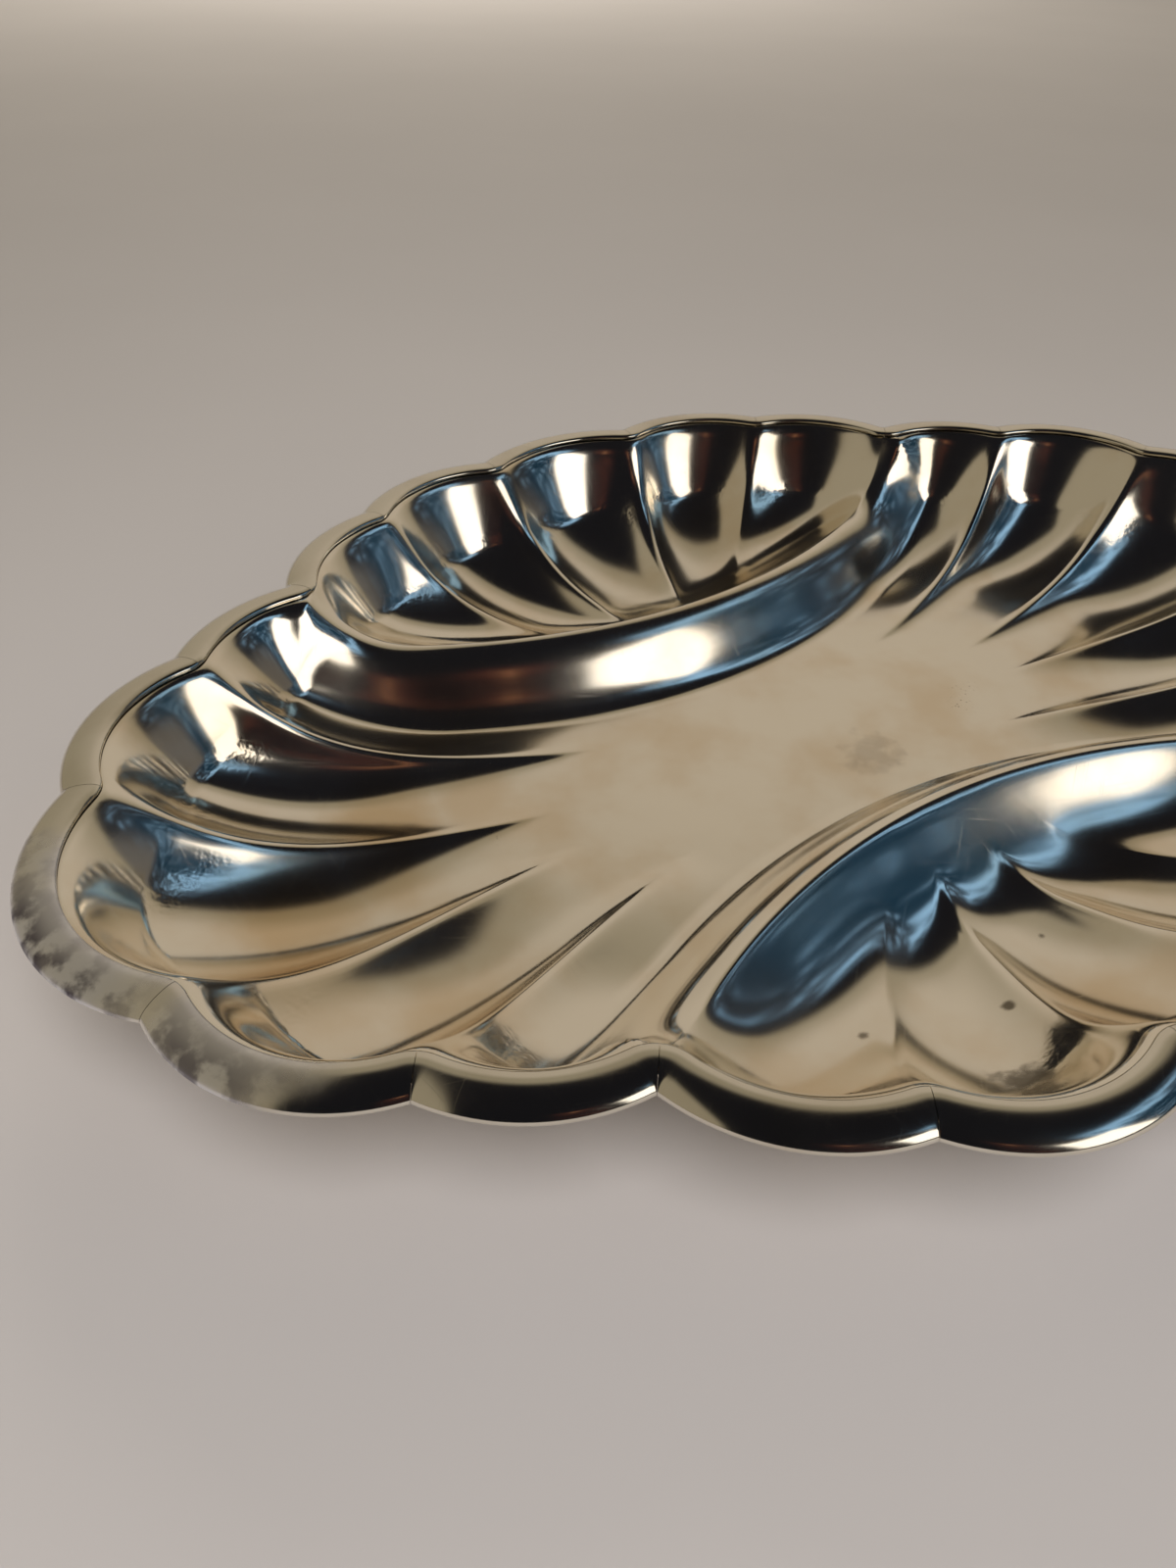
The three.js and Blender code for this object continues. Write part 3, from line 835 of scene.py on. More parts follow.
@dataclass
class Border:
    """The rounded moulding on the sheet's edge, in one mitred length for each scallop."""

    outline: Outline
    seat_height: float = SEAT_HEIGHT
    thickness: float = 1.2
    edge: float = 0.4
    crest_inset: float = 6.2
    skirt_drop: float = 1.3
    skirt_wall: float = 2.8
    seat_gap: float = 0.3
    mitre_gap: float = 0.12
    edge_steps: int = 8
    crest_steps: int = 20
    columns: int = 36
    lengths_per_quarter: int = 5
    first_lobe: int = 18
    sharp_edge: float = 38.0

    def section(self) -> list[tuple[float, float]]:
        """Insets round the section, each with its level: 0 on top, -1 at the foot and 1 on the seat.

        Returns:
            Pairs of inset in millimetres and level.
        """
        reach = self.outline.border_width - self.crest_inset
        edge_turns = np.linspace(math.pi / 2, 0.0, self.edge_steps + 1)[:-1]
        crest_turns = np.linspace(0.0, math.pi / 2, self.crest_steps + 1)
        rows = [(self.crest_inset + reach * math.sin(turn), 0.0) for turn in edge_turns]
        rows += [(self.crest_inset * (1 - math.sin(turn)), 0.0) for turn in crest_turns]
        return rows + [(self.skirt_wall, -1.0), (self.skirt_wall, 1.0), (self.outline.border_width, 1.0)]

    def moulding(self, material: bpy.types.Material) -> Tree:
        """Tree that raises a flat length into the moulding.

        Args:
            material: The border's material.

        Returns:
            The tree, with its sizes as inputs.
        """
        tree = Tree("moulding")
        base = tree.size("Seat", (self.seat_height + self.seat_gap) * MM)
        foot = tree.size("Foot", (self.seat_height - self.skirt_drop) * MM)
        thickness = tree.size("Thickness", self.thickness * MM)
        edge = tree.size("Edge", self.edge * MM)
        crest_inset = tree.size("Crest Inset", self.crest_inset * MM)
        width = tree.size("Width", self.outline.border_width * MM)
        inset, level = tree.attribute("inset"), tree.attribute("level")

        def quarter(share: Value) -> bpy.types.NodeSocket:
            """Height of a quarter ellipse at a share of its reach."""
            held = tree.math("MINIMUM", tree.math("MAXIMUM", share, 0.0), 1.0)
            return tree.math("SQRT", tree.math("SUBTRACT", 1.0, tree.math("MULTIPLY", held, held)))

        reach = tree.math("SUBTRACT", width, crest_inset)
        inward = tree.math("DIVIDE", tree.math("SUBTRACT", inset, crest_inset), reach)
        outward = tree.math("DIVIDE", tree.math("SUBTRACT", crest_inset, inset), crest_inset)
        crest = tree.math("ADD", base, thickness)
        inner = tree.mix(tree.math("ADD", base, edge), crest, quarter(inward))
        outer = tree.mix(foot, crest, quarter(outward))
        top = tree.mix(inner, outer, tree.math("LESS_THAN", inset, crest_inset))
        under = tree.mix(foot, base, tree.math("GREATER_THAN", level, 0.0))
        hidden = tree.math("GREATER_THAN", tree.math("ABSOLUTE", level), 0.5)
        shaped = tree.raised(tree.source.outputs["Geometry"], tree.mix(top, under, hidden))
        tree.finish(shaped, material, self.sharp_edge)
        return tree

    def length(self, lobe: int, name: str) -> bpy.types.Object:
        """Flat blank of the length over one scallop.

        Args:
            lobe: The scallop's number.
            name: Name of the piece.

        Returns:
            The blank as an object.
        """
        blank = Blank(("inset", "level"))
        arc = self.outline.scallops[lobe]
        chord = (arc.end - arc.start) / np.hypot(*(arc.end - arc.start))
        rows = self.section()
        columns = []
        for share in np.linspace(0.0, 1.0, self.columns + 1):
            spot = self.outline.spot(lobe, float(share))
            along = round(float(share)) if spot.radius == 0.0 else (
                (spot.angle - arc.start_angle) / (arc.end_angle - arc.start_angle)
            )
            pull = chord * self.mitre_gap * (0.5 - along)
            columns.append([
                blank.vertex(spot.inset(inset) + pull, row, inset=inset * MM, level=level)
                for row, (inset, level) in enumerate(rows)
            ])
        closed = [column + column[:1] for column in columns]
        blank.fill(closed)
        blank.faces.append(tuple(columns[0]))
        blank.faces.append(tuple(reversed(columns[-1])))
        return blank.object(name)

    def build(self, material: bpy.types.Material) -> dict[str, bpy.types.Object]:
        """Shape all lengths.

        Args:
            material: The border's material.

        Returns:
            Each length by the name of the part that it stands for.
        """
        tree = self.moulding(material)
        made = {}
        for turn, quarter in enumerate(Quarter):
            for number in range(self.lengths_per_quarter):
                lobe = (self.first_lobe + turn * self.lengths_per_quarter + number) % self.outline.lobes
                piece = self.length(lobe, f"border_length_{quarter.value}_{number + 1}")
                tree.apply(piece)
                face_outwards(piece.data)
                made[f"border_{quarter.value}_{number + 1}"] = piece
        return made


def face_outwards(mesh: bpy.types.Mesh) -> None:
    """Turn the faces of a closed mesh outwards.

    Args:
        mesh: The mesh.
    """
    shell = bmesh.new()
    shell.from_mesh(mesh)
    bmesh.ops.recalc_face_normals(shell, faces=shell.faces)
    shell.to_mesh(mesh)
    shell.free()


class Shading(Canvas):
    """Nodes of a material, a world or a shader group."""

    def ramp(self, value: Value, low: float, high: float) -> bpy.types.NodeSocket:
        """Smooth step from 0 to 1 as a value goes from low to high.

        Args:
            value: The value.
            low: Where the step starts.
            high: Where it ends.

        Returns:
            The step's socket.
        """
        node = self.node("ShaderNodeMapRange", interpolation_type="SMOOTHSTEP")
        self.feed(value, node.inputs["Value"])
        self.feed(low, node.inputs["From Min"])
        self.feed(high, node.inputs["From Max"])
        return node.outputs["Result"]

    def band(self, value: Value, low: float, high: float, soft: float) -> bpy.types.NodeSocket:
        """Mask of 1 between two values, with soft ends.

        Args:
            value: The value.
            low: Where the band starts.
            high: Where it ends.
            soft: How far its ends fade to either side.

        Returns:
            The mask's socket.
        """
        return self.product(
            self.ramp(value, low - soft, low + soft),
            self.math("SUBTRACT", 1.0, self.ramp(value, high - soft, high + soft)),
        )

    def blend(self, low: object, high: object, share: Value) -> bpy.types.NodeSocket:
        """Blend of two colours by a share from 0 to 1.

        Args:
            low: Colour or socket at 0.
            high: Colour or socket at 1.
            share: The share.

        Returns:
            The blended colour's socket.
        """
        node = self.node("ShaderNodeMix", data_type="RGBA")
        self.feed(share, node.inputs[0])
        for value, slot in ((low, node.inputs[6]), (high, node.inputs[7])):
            self.feed(value if isinstance(value, bpy.types.NodeSocket) else (*value, 1.0), slot)
        return node.outputs[2]

    def noise(self, place: bpy.types.NodeSocket, scale: Value, detail: float) -> bpy.types.NodeSocket:
        """Soft noise about 0.5 at a number of waves per metre.

        Args:
            place: Where the noise is read.
            scale: Waves per metre.
            detail: How many finer layers it has.

        Returns:
            The noise's socket.
        """
        node = self.node("ShaderNodeTexNoise")
        self.feed(place, node.inputs["Vector"])
        self.feed(scale, node.inputs["Scale"])
        node.inputs["Detail"].default_value = detail
        return node.outputs["Fac"]

    def vector(self, operation: str, *values: object) -> bpy.types.Node:
        """Vector arithmetic on sockets and plain vectors.

        Args:
            operation: Name of the Vector Math node's operation.
            values: Its operands.

        Returns:
            The node, whose outputs hold the result.
        """
        node = self.node("ShaderNodeVectorMath", operation=operation)
        for value, slot in zip(values, node.inputs):
            self.feed(value, slot)
        return node

    def place(self) -> bpy.types.NodeSocket:
        """Object coordinates in metres."""
        return self.node("ShaderNodeTexCoord").outputs["Object"]

    def carried(self, name: str) -> bpy.types.NodeSocket:
        """Number that the mesh carries under a name."""
        return self.node("ShaderNodeAttribute", attribute_name=name).outputs["Fac"]

    def use(self, group: bpy.types.NodeTree, output: str, **values: Value) -> bpy.types.NodeSocket:
        """Place a shared effect with its own values.

        Args:
            group: The effect's node group.
            output: Name of the output to read.
            values: Values of its inputs, by their names in lower case with underscores.

        Returns:
            The output's socket.
        """
        node = self.node("ShaderNodeGroup", node_tree=group)
        for slot in node.inputs:
            key = slot.name.lower().replace(" ", "_")
            if key in values:
                self.feed(values[key], slot)
        return node.outputs[output]


class Effect(Shading):
    """A shared shader effect with named inputs, built once and placed in each finish."""

    def __init__(self, name: str, inputs: dict[str, float], output: str) -> None:
        """Start the effect's node group.

        Args:
            name: Name of the group.
            inputs: Names and usual values of its inputs.
            output: Name of the value that it puts out.
        """
        super().__init__(bpy.data.node_groups.new(name, "ShaderNodeTree"))
        for key, value in inputs.items():
            socket = self.tree.interface.new_socket(key, in_out="INPUT", socket_type="NodeSocketFloat")
            socket.default_value = value
        self.tree.interface.new_socket(output, in_out="OUTPUT", socket_type="NodeSocketFloat")
        self.given = self.node("NodeGroupInput").outputs
        self.result = self.node("NodeGroupOutput").inputs[output]

    def close(self, value: bpy.types.NodeSocket) -> bpy.types.NodeTree:
        """Put out the effect's value and hand over the group."""
        self.feed(value, self.result)
        return self.tree


class Wear:
    """The shared effects of worn silver plate."""

    LINE_TURNS = (18.0, 77.0, 139.0)
    LINE_EDGE = 0.12
    CLUSTER_SCALE = 28.0
    CLUSTER_EDGE = 0.1
    STAIN_TEAR = 4.0
    STAIN_FADE = (0.25, 1.0)

    def __init__(self) -> None:
        """Build every effect once."""
        self.patches = self.make_patches()
        self.hairlines = self.make_hairlines()
        self.specks = self.make_specks()
        self.stain = self.make_stain()

    def make_patches(self) -> bpy.types.NodeTree:
        """Cloudy patches of tarnish or haze, by their size and how much they cover.

        Returns:
            The effect's group.
        """
        effect = Effect("patches", {"Scale": 30.0, "Cover": 0.4, "Softness": 0.15}, "Mask")
        cloud = effect.noise(effect.place(), effect.given["Scale"], detail=7.0)
        edge = effect.math("SUBTRACT", 1.0, effect.given["Cover"])
        low = effect.math("SUBTRACT", edge, effect.given["Softness"])
        high = effect.math("ADD", edge, effect.given["Softness"])
        return effect.close(effect.ramp(cloud, low, high))

    def make_hairlines(self) -> bpy.types.NodeTree:
        """Fine polishing scratches in three directions.

        Returns:
            The effect's group.
        """
        effect = Effect("hairlines", {"Length": 45.0, "Fineness": 2400.0, "Cover": 0.35}, "Mask")
        place = effect.place()
        edge = effect.math("SUBTRACT", 1.0, effect.given["Cover"])
        lines = []
        for turn in self.LINE_TURNS:
            turned = effect.node("ShaderNodeVectorRotate", rotation_type="Z_AXIS")
            effect.feed(place, turned.inputs["Vector"])
            turned.inputs["Angle"].default_value = math.radians(turn)
            stretch = effect.node("ShaderNodeCombineXYZ")
            effect.feed(effect.given["Length"], stretch.inputs["X"])
            effect.feed(effect.given["Fineness"], stretch.inputs["Y"])
            effect.feed(effect.given["Length"], stretch.inputs["Z"])
            drawn = effect.vector("MULTIPLY", turned.outputs["Vector"], stretch.outputs["Vector"])
            grain = effect.noise(drawn.outputs["Vector"], 1.0, detail=1.0)
            lines.append(effect.ramp(grain, edge, effect.math("ADD", edge, self.LINE_EDGE)))
        return effect.close(effect.math("MAXIMUM", lines[0], effect.math("MAXIMUM", lines[1], lines[2])))

    def make_specks(self) -> bpy.types.NodeTree:
        """Small dark pits, most of them in clusters.

        Returns:
            The effect's group.
        """
        effect = Effect("specks", {"Scale": 700.0, "Size": 0.12, "Cover": 0.2}, "Mask")
        place = effect.place()
        cells = effect.node("ShaderNodeTexVoronoi")
        effect.feed(place, cells.inputs["Vector"])
        effect.feed(effect.given["Scale"], cells.inputs["Scale"])
        dot = effect.math("LESS_THAN", cells.outputs["Distance"], effect.given["Size"])
        cluster = effect.noise(place, self.CLUSTER_SCALE, detail=3.0)
        edge = effect.math("SUBTRACT", 1.0, effect.given["Cover"])
        chosen = effect.ramp(cluster, edge, effect.math("ADD", edge, self.CLUSTER_EDGE))
        return effect.close(effect.product(dot, chosen))

    def make_stain(self) -> bpy.types.NodeTree:
        """A ragged stain round one place in plan.

        Returns:
            The effect's group.
        """
        usual = {"Centre X": 0.0, "Centre Y": 0.0, "Radius": 0.01, "Ragged": 0.5, "Scale": 220.0}
        effect = Effect("stain", usual, "Mask")
        place = effect.place()
        apart = effect.node("ShaderNodeSeparateXYZ")
        effect.feed(place, apart.inputs["Vector"])
        x = effect.math("SUBTRACT", apart.outputs["X"], effect.given["Centre X"])
        y = effect.math("SUBTRACT", apart.outputs["Y"], effect.given["Centre Y"])
        away = effect.math("SQRT", effect.math("ADD", effect.product(x, x), effect.product(y, y)))
        share = effect.math("DIVIDE", away, effect.given["Radius"])
        cloud = effect.math("SUBTRACT", effect.noise(place, effect.given["Scale"], detail=6.0), 0.5)
        torn = effect.math("ADD", share, effect.product(cloud, effect.given["Ragged"], self.STAIN_TEAR))
        return effect.close(effect.math("SUBTRACT", 1.0, effect.ramp(torn, *self.STAIN_FADE)))


@dataclass(frozen=True)
class Stain:
    """A stain at a place in plan, in millimetres, and how strongly it shows."""

    centre: tuple[float, float]
    radius: float
    strength: float
    ragged: float = 0.5
    scale: float = 220.0


@dataclass(frozen=True)
class Patches:
    """Cloudy patches: their waves per metre, how much they cover and how soft their edges are."""

    scale: float
    cover: float
    softness: float

    def mask(self, shading: Shading, wear: Wear) -> bpy.types.NodeSocket:
        """Strength of the patches at each place.

        Args:
            shading: The material's nodes.
            wear: The shared effects.

        Returns:
            The mask's socket.
        """
        return shading.use(
            wear.patches, "Mask", scale=self.scale, cover=self.cover, softness=self.softness
        )


@dataclass(frozen=True)
class PlateFinish:
    """Silver plate: its polish, its tarnish and its wear."""

    name: str
    silver: Colour
    tarnish: Colour
    soot: Colour
    haze_tint: Colour
    roughness: float
    haze: float
    tarnished: Patches
    tarnish_strength: float
    speck_cover: float
    unevenness: float
    stains: tuple[Stain, ...] = ()
    worn: tuple[Stain, ...] = ()
    browned: tuple[Stain, ...] = ()
    stain_roughness: float = 0.25
    speck_scale: float = 760.0
    speck_size: float = 0.16
    hazed: Patches = Patches(20.0, 0.5, 0.25)
    mottled: Patches = Patches(190.0, 0.5, 0.09)
    mottle_fade: tuple[float, float] = (1.0, 6.5)
    inner_mottle: float = 0.25
    worn_tint: float = 0.8
    worn_soot: float = 0.9
    worn_roughness: float = 0.3
    line_length: float = 70.0
    line_fineness: float = 3400.0
    line_cover: float = 0.34
    line_roughness: float = 0.06
    wave_scale: float = 38.0
    ripple_scale: float = 620.0
    ripple_height: float = 0.6
    ripple_descent: tuple[float, float, float] = (0.5, 0.66, 0.06)
    ripple_shoulder: tuple[float, float, float] = (0.12, 0.75, 0.1)

    def masked(self, shading: Shading, wear: Wear, stains: tuple[Stain, ...]) -> Value:
        """Strength of the stains at each place.

        Args:
            shading: The material's nodes.
            wear: The shared effects.
            stains: The stains to add up.

        Returns:
            A socket, or 0 if there are none.
        """
        total: Value = 0.0
        for stain in stains:
            mask = shading.use(
                wear.stain, "Mask",
                centre_x=stain.centre[0] * MM, centre_y=stain.centre[1] * MM,
                radius=stain.radius * MM, ragged=stain.ragged, scale=stain.scale,
            )
            total = shading.math("MAXIMUM", total, shading.product(mask, stain.strength))
        return total

    def colour(self, shading: Shading, wear: Wear, stains: Value, worn: Value) -> bpy.types.NodeSocket:
        """Colour of the plate.

        Args:
            shading: The material's nodes.
            wear: The shared effects.
            stains: Strength of the dark stains.
            worn: Strength of the worn places.

        Returns:
            The colour's socket.
        """
        tarnished = shading.product(self.tarnished.mask(shading, wear), self.tarnish_strength)
        colour = shading.blend(self.silver, self.tarnish, tarnished)
        colour = shading.blend(colour, self.tarnish, self.masked(shading, wear, self.browned))
        specks = shading.use(
            wear.specks, "Mask", scale=self.speck_scale, size=self.speck_size, cover=self.speck_cover
        )
        colour = shading.blend(colour, self.soot, shading.math("MAXIMUM", specks, stains))
        fade = (inset * MM for inset in self.mottle_fade)
        outer = shading.math("SUBTRACT", 1.0, shading.ramp(shading.carried("inset"), *fade))
        mottle = shading.product(
            self.mottled.mask(shading, wear), shading.mix(self.inner_mottle, 1.0, outer)
        )
        colour = shading.blend(colour, self.haze_tint, shading.product(worn, self.worn_tint))
        return shading.blend(colour, self.soot, shading.product(worn, mottle, self.worn_soot))

    def polish(self, shading: Shading, wear: Wear, stains: Value, worn: Value) -> bpy.types.NodeSocket:
        """Roughness of the plate.

        Args:
            shading: The material's nodes.
            wear: The shared effects.
            stains: Strength of the dark stains.
            worn: Strength of the worn places.

        Returns:
            The roughness's socket.
        """
        lines = shading.use(
            wear.hairlines, "Mask",
            length=self.line_length, fineness=self.line_fineness, cover=self.line_cover,
        )
        hazed = self.hazed.mask(shading, wear)
        rough = shading.math("ADD", self.roughness, shading.product(hazed, self.haze))
        for mask, more in (
            (lines, self.line_roughness), (worn, self.worn_roughness), (stains, self.stain_roughness)
        ):
            rough = shading.math("ADD", rough, shading.math("MULTIPLY", mask, more))
        return rough

    def relief(self, shading: Shading) -> bpy.types.NodeSocket:
        """Height of the plate's gentle waves, and of the ripples in the flutes' outer corners.

        Args:
            shading: The material's nodes.

        Returns:
            The height's socket, as a share of the unevenness.
        """
        place = shading.place()
        waves = shading.noise(place, self.wave_scale, detail=2.0)
        ripples = shading.noise(place, self.ripple_scale, detail=1.0)
        corner = shading.product(
            shading.band(shading.carried("descent"), *self.ripple_descent),
            shading.band(shading.carried("shoulder"), *self.ripple_shoulder),
        )
        return shading.math("ADD", waves, shading.product(ripples, corner, self.ripple_height))

    def material(self, wear: Wear) -> bpy.types.Material:
        """Make the material.

        Args:
            wear: The shared effects.

        Returns:
            The material.
        """
        material = bpy.data.materials.new(self.name)
        material.use_nodes = True
        shading = Shading(material.node_tree)
        metal = material.node_tree.nodes["Principled BSDF"]
        metal.inputs["Metallic"].default_value = 1.0
        stains = self.masked(shading, wear, self.stains)
        worn = self.masked(shading, wear, self.worn)
        shading.feed(self.colour(shading, wear, stains, worn), metal.inputs["Base Color"])
        shading.feed(self.polish(shading, wear, stains, worn), metal.inputs["Roughness"])
        bump = shading.node("ShaderNodeBump")
        bump.inputs["Distance"].default_value = self.unevenness * MM
        shading.feed(self.relief(shading), bump.inputs["Height"])
        shading.feed(bump.outputs["Normal"], metal.inputs["Normal"])
        return material


@dataclass(frozen=True)
class Panel:
    """A patch of a far wall: what it spans sideways and upwards as tangents, and how soft its edges are."""

    side: tuple[float, float]
    rise: tuple[float, float]
    side_soft: float
    rise_soft: float


@dataclass(frozen=True)
class Outlook:
    """A far wall at one bearing: tangents sideways and upwards on it, and a mask of its side of the world."""

    side: bpy.types.NodeSocket
    rise: bpy.types.NodeSocket
    front: bpy.types.NodeSocket


class Sky(Shading):
    """Nodes of the world, in which a direction is told by its bearing to the right of a heading."""

    LEAST_FACING = 0.02
    GRAZING = (0.05, 0.12)

    def __init__(self, tree: bpy.types.NodeTree, ahead: float) -> None:
        """Take up the direction that is looked in.

        Args:
            tree: The world's nodes.
            ahead: The heading in degrees from which bearings count.
        """
        super().__init__(tree)
        self.ahead = ahead
        self.direction = self.node("ShaderNodeTexCoord").outputs["Generated"]
        self.up = self.vector("DOT_PRODUCT", self.direction, (0.0, 0.0, 1.0)).outputs["Value"]

    def along(self, azimuth: float) -> bpy.types.NodeSocket:
        """How far the direction goes towards a bearing to the right of ahead.

        Args:
            azimuth: The bearing in degrees.

        Returns:
            The socket, from -1 to 1.
        """
        turn = math.radians(self.ahead - azimuth)
        axis = (math.cos(turn), math.sin(turn), 0.0)
        return self.vector("DOT_PRODUCT", self.direction, axis).outputs["Value"]

    def outlook(self, azimuth: float) -> Outlook:
        """The far wall at a bearing.

        Args:
            azimuth: The bearing in degrees to the right of ahead.

        Returns:
            The wall's tangents and its mask.
        """
        facing = self.math("MAXIMUM", self.along(azimuth), self.LEAST_FACING)
        return Outlook(
            side=self.math("DIVIDE", self.along(azimuth + 90.0), facing),
            rise=self.math("DIVIDE", self.up, facing),
            front=self.ramp(facing, *self.GRAZING),
        )

    def panel(self, outlook: Outlook, panel: Panel) -> bpy.types.NodeSocket:
        """Mask of a panel on a far wall.

        Args:
            outlook: The wall.
            panel: The panel.

        Returns:
            The mask's socket.
        """
        return self.product(
            self.band(outlook.side, *panel.side, panel.side_soft),
            self.band(outlook.rise, *panel.rise, panel.rise_soft),
            outlook.front,
        )

    def outside(self, value: Value, low: float, high: float) -> bpy.types.NodeSocket:
        """Smooth step from 1 to 0 as a value goes from low to high."""
        return self.math("SUBTRACT", 1.0, self.ramp(value, low, high))


@dataclass(frozen=True)
class Surroundings:
    """What the plate reflects: a pale wall ahead and to the left, a dark ceiling and a daylight window.

    Bearings count in degrees to the right of the camera's heading, and spans are tangents.
    """

    wall: Colour = (0.30, 0.262, 0.19)
    bright_wall: Colour = (0.47, 0.41, 0.33)
    ceiling: Colour = (0.008, 0.008, 0.010)
    window: Colour = (1.75, 1.65, 1.5)
    pale_sky: Colour = (0.31, 0.56, 0.86)
    deep_sky: Colour = (0.006, 0.026, 0.052)
    shade: Colour = (0.022, 0.024, 0.029)
    sill: Colour = (0.12, 0.115, 0.11)
    brown: Colour = (0.075, 0.026, 0.020)
    orange: Colour = (0.36, 0.17, 0.09)
    backdrop: Colour = (0.44, 0.40, 0.335)
    ceiling_right: float = 0.977
    ceiling_ahead: float = -0.213
    ceiling_start: tuple[float, float] = (-0.34, -0.26)
    ceiling_end: tuple[float, float] = (0.40, 0.50)
    bright_left: tuple[float, float] = (-1.2, 0.15)
    bright_right: tuple[float, float] = (0.5, 1.6)
    bright_top: tuple[float, float] = (0.8, 1.5)
    bright_front: tuple[float, float] = (0.05, 0.2)
    brown_bearing: float = 163.0
    brown_wood: Panel = Panel((-0.25, 0.08), (0.1, 1.05), 0.1, 0.15)
    wood_grain: tuple[float, float, float] = (2.0, 2.0, 26.0)
    wood_streaks: tuple[float, float] = (0.42, 0.62)
    glint: Panel = Panel((-0.08, -0.03), (0.9, 1.03), 0.015, 0.03)
    window_bearing: float = 110.0
    greenery: Panel = Panel((-1.15, 0.1), (0.05, 1.3), 0.1, 0.08)
    greenery_depth: tuple[float, float] = (-0.75, -0.3)
    leaf_scale: float = 16.0
    leaf_gaps: tuple[float, float] = (0.57, 0.66)
    thin_leaves: tuple[float, float] = (0.85, 1.1)
    thinning: float = 0.16
    open_air: Panel = Panel((-0.85, 0.14), (0.16, 1.38), 0.15, 0.07)
    ledge: Panel = Panel((-1.2, -0.3), (0.03, 0.26), 0.12, 0.09)
    pane: Panel = Panel((0.0, 0.6), (0.14, 1.0), 0.02, 0.025)

    def room(self, sky: Sky) -> bpy.types.NodeSocket:
        """Colour of the walls and the ceiling.

        Args:
            sky: The world's nodes.

        Returns:
            The colour's socket.
        """
        ahead, right = sky.along(0.0), sky.along(90.0)
        across = sky.math(
            "ADD", sky.product(right, self.ceiling_right), sky.product(ahead, self.ceiling_ahead)
        )
        dark = sky.product(sky.ramp(across, *self.ceiling_start), sky.outside(ahead, *self.ceiling_end))
        wall = sky.outlook(0.0)
        lit = sky.product(
            sky.ramp(wall.side, *self.bright_left),
            sky.outside(wall.side, *self.bright_right),
            sky.outside(wall.rise, *self.bright_top),
            sky.ramp(ahead, *self.bright_front),
        )
        return sky.blend(sky.blend(self.wall, self.bright_wall, lit), self.ceiling, dark)

    def furniture(self, sky: Sky, colour: bpy.types.NodeSocket) -> bpy.types.NodeSocket:
        """Stand brown wood with a glint in the dark part of the room.

        Args:
            sky: The world's nodes.
            colour: Colour of the room.

        Returns:
            The colour's socket.
        """
        wall = sky.outlook(self.brown_bearing)
        drawn = sky.vector("MULTIPLY", sky.direction, self.wood_grain).outputs["Vector"]
        streaks = sky.ramp(sky.noise(drawn, 1.0, detail=4.0), *self.wood_streaks)
        colour = sky.blend(colour, self.brown, sky.product(sky.panel(wall, self.brown_wood), streaks))
        return sky.blend(colour, self.orange, sky.panel(wall, self.glint))

    def daylight(self, sky: Sky, colour: bpy.types.NodeSocket) -> bpy.types.NodeSocket:
        """Open the window, with greenery and a pale sky beside its bright pane.

        Args:
            sky: The world's nodes.
            colour: Colour of the room.

        Returns:
            The colour's socket.
        """
        wall = sky.outlook(self.window_bearing)
        green = sky.blend(self.shade, self.deep_sky, sky.ramp(wall.side, *self.greenery_depth))
        colour = sky.blend(colour, green, sky.panel(wall, self.greenery))
        leaves = sky.noise(sky.direction, self.leaf_scale, detail=4.0)
        higher = sky.product(sky.ramp(wall.rise, *self.thin_leaves), self.thinning)
        gaps = sky.ramp(sky.math("ADD", leaves, higher), *self.leaf_gaps)
        colour = sky.blend(colour, self.pale_sky, sky.product(sky.panel(wall, self.open_air), gaps))
        colour = sky.blend(colour, self.sill, sky.panel(wall, self.ledge))
        return sky.blend(colour, self.window, sky.panel(wall, self.pane))

    def build(self) -> None:
        """Make the world."""
        world = bpy.data.worlds.new("surroundings")
        world.use_nodes = True
        bpy.context.scene.world = world
        sky = Sky(world.node_tree, VIEW_HEADING)
        colour = self.daylight(sky, self.furniture(sky, self.room(sky)))
        seen = sky.node("ShaderNodeLightPath").outputs["Is Camera Ray"]
        background = world.node_tree.nodes["Background"]
        sky.feed(sky.blend(colour, self.backdrop, seen), background.inputs["Color"])


@dataclass(frozen=True)
class Lamp:
    """A soft round lamp that lights the floor without showing in the metal, in metres and watts."""

    name: str
    place: Place
    aim: Place
    size: float
    power: float
    colour: Colour

    def hang(self) -> None:
        """Hang the lamp."""
        light = bpy.data.lights.new(self.name, "AREA")
        light.shape = "DISK"
        light.size = self.size
        light.energy = self.power
        light.color = self.colour
        lamp = bpy.data.objects.new(self.name, light)
        lamp.location = self.place
        way = Vector(self.aim) - Vector(self.place)
        lamp.rotation_euler = way.to_track_quat("-Z", "Y").to_euler()
        lamp.visible_glossy = False
        bpy.context.scene.collection.objects.link(lamp)


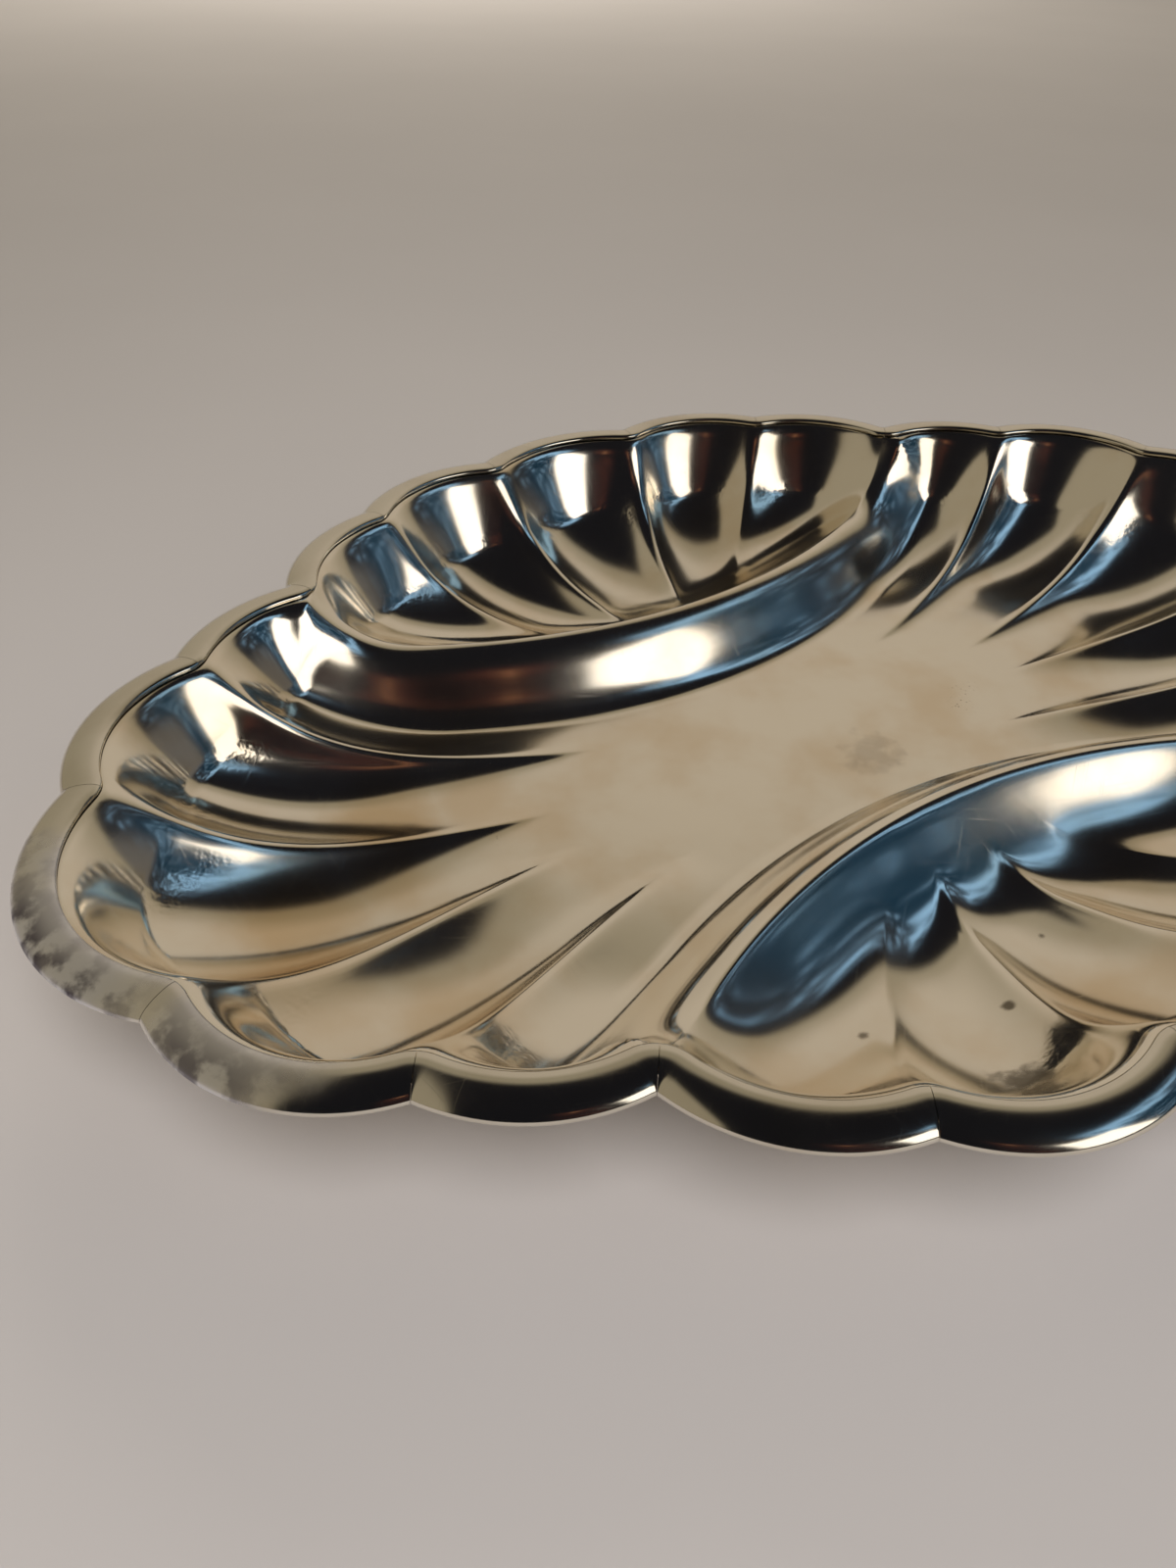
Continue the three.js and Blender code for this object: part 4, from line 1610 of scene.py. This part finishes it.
@dataclass
class Studio:
    """The pale floor, the soft lamps and the camera."""

    floor_reach: float = 7.0
    floor_colour: Colour = (0.57, 0.525, 0.485)
    floor_shade: float = 0.93
    floor_cloud_scale: float = 5.0
    floor_roughness: float = 0.55
    floor_gloss: float = 0.25
    eye: Place = (-159.35, -158.28, 174.74)
    heading: float = VIEW_HEADING
    pitch: float = 41.157
    roll: float = -0.893
    focal_pixels: float = 1095.3
    long_side_pixels: float = 1600.0
    sensor: float = 36.0
    near_clip: float = 0.01
    surroundings: Surroundings = Surroundings()
    lamps: tuple[Lamp, ...] = (
        Lamp("front_lamp", (-0.29, -0.47, 0.8), (-0.2, -0.3, 0.0), 0.7, 6.6, (0.98, 0.99, 1.05)),
        Lamp("back_lamp", (0.9, 2.2, 1.1), (0.7, 1.5, 0.0), 1.4, 22.0, (1.0, 0.96, 0.9)),
    )

    def floor(self) -> None:
        """Lay the floor under the platter."""
        mesh = bpy.data.meshes.new("floor")
        reach = self.floor_reach
        mesh.from_pydata(
            [(-reach, -reach, 0.0), (reach, -reach, 0.0), (reach, reach, 0.0), (-reach, reach, 0.0)],
            [],
            [(0, 1, 2, 3)],
        )
        floor = bpy.data.objects.new("floor", mesh)
        bpy.context.scene.collection.objects.link(floor)
        material = bpy.data.materials.new("pale_floor")
        material.use_nodes = True
        shading = Shading(material.node_tree)
        paint = material.node_tree.nodes["Principled BSDF"]
        cloud = shading.noise(shading.place(), self.floor_cloud_scale, detail=3.0)
        darker = tuple(self.floor_shade * part for part in self.floor_colour)
        shading.feed(shading.blend(darker, self.floor_colour, cloud), paint.inputs["Base Color"])
        paint.inputs["Roughness"].default_value = self.floor_roughness
        paint.inputs["Specular IOR Level"].default_value = self.floor_gloss
        mesh.materials.append(material)

    def camera(self) -> None:
        """Stand the camera where the photograph was taken."""
        yaw, pitch, roll = (math.radians(angle) for angle in (self.heading, self.pitch, self.roll))
        forward = Vector((math.cos(yaw) * math.cos(pitch), math.sin(yaw) * math.cos(pitch), -math.sin(pitch)))
        level = Vector((math.sin(yaw), -math.cos(yaw), 0.0))
        down = forward.cross(level)
        right = level * math.cos(roll) + down * math.sin(roll)
        lower = down * math.cos(roll) - level * math.sin(roll)
        data = bpy.data.cameras.new("camera")
        data.sensor_width = self.sensor
        data.lens = self.focal_pixels / self.long_side_pixels * self.sensor
        data.clip_start = self.near_clip
        camera = bpy.data.objects.new("camera", data)
        turn = Matrix((right, -lower, -forward)).transposed().to_4x4()
        camera.matrix_world = Matrix.Translation(Vector(self.eye) * MM) @ turn
        bpy.context.scene.collection.objects.link(camera)
        bpy.context.scene.camera = camera

    def build(self) -> None:
        """Set up the studio."""
        bpy.context.scene.view_settings.view_transform = "Standard"
        self.surroundings.build()
        self.floor()
        for lamp in self.lamps:
            lamp.hang()
        self.camera()


TRAY_PLATE = PlateFinish(
    name="tray_plate",
    silver=(0.92, 0.86, 0.755),
    tarnish=(0.72, 0.54, 0.32),
    soot=(0.10, 0.075, 0.05),
    haze_tint=(0.66, 0.60, 0.52),
    roughness=0.11,
    haze=0.06,
    tarnished=Patches(34.0, 0.43, 0.16),
    tarnish_strength=0.45,
    speck_cover=0.33,
    unevenness=0.10,
    stains=(
        Stain((13.0, -15.0), 10.0, 0.2),
        Stain((-35.7, -107.0), 6.0, 0.75),
        Stain((-21.0, -91.0), 1.6, 0.8),
        Stain((2.7, -79.7), 1.3, 0.7),
        Stain((-51.0, -82.0), 1.4, 0.7),
    ),
    browned=(
        Stain((-104.0, 21.5), 20.0, 0.75, 0.14, 90.0),
        Stain((-82.0, 19.0), 16.0, 0.5, 0.14, 90.0),
        Stain((-131.0, 3.0), 21.0, 0.75, 0.14, 90.0),
        Stain((-110.0, 6.0), 16.0, 0.5, 0.14, 90.0),
        Stain((-112.0, -37.0), 18.0, 0.45, 0.14, 90.0),
        Stain((-8.0, -101.0), 18.0, 0.5, 0.14, 90.0),
    ),
)
BORDER_PLATE = PlateFinish(
    name="border_plate",
    silver=(0.80, 0.755, 0.66),
    tarnish=(0.55, 0.47, 0.36),
    soot=(0.06, 0.042, 0.075),
    haze_tint=(0.86, 0.87, 0.95),
    roughness=0.085,
    haze=0.10,
    tarnished=Patches(34.0, 0.42, 0.16),
    tarnish_strength=0.45,
    speck_cover=0.36,
    unevenness=0.08,
    worn=(Stain((-172.0, -8.0), 34.0, 1.0, 0.35, 60.0), Stain((-156.0, -45.0), 22.0, 0.8, 0.35, 60.0)),
)


def carry(piece: bpy.types.Object, node: str) -> None:
    """Put a piece in its part's place on the platter.

    Args:
        piece: The finished piece.
        node: The part that it stands for.
    """
    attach(piece, "root")
    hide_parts(node)
    LOG.info("%s stands for %s with %d faces", piece.name, node, len(piece.data.polygons))


def main() -> None:
    """Build the studio and the platter, piece by piece."""
    logging.basicConfig(level=logging.INFO, format="%(name)s: %(message)s")
    Studio().build()
    wear = Wear()
    outline = Outline()
    carry(PressedTray(outline).build(TRAY_PLATE.material(wear)), "pressed_tray")
    for node, piece in Border(outline).build(BORDER_PLATE.material(wear)).items():
        carry(piece, node)


if __name__ == "__main__":
    main()
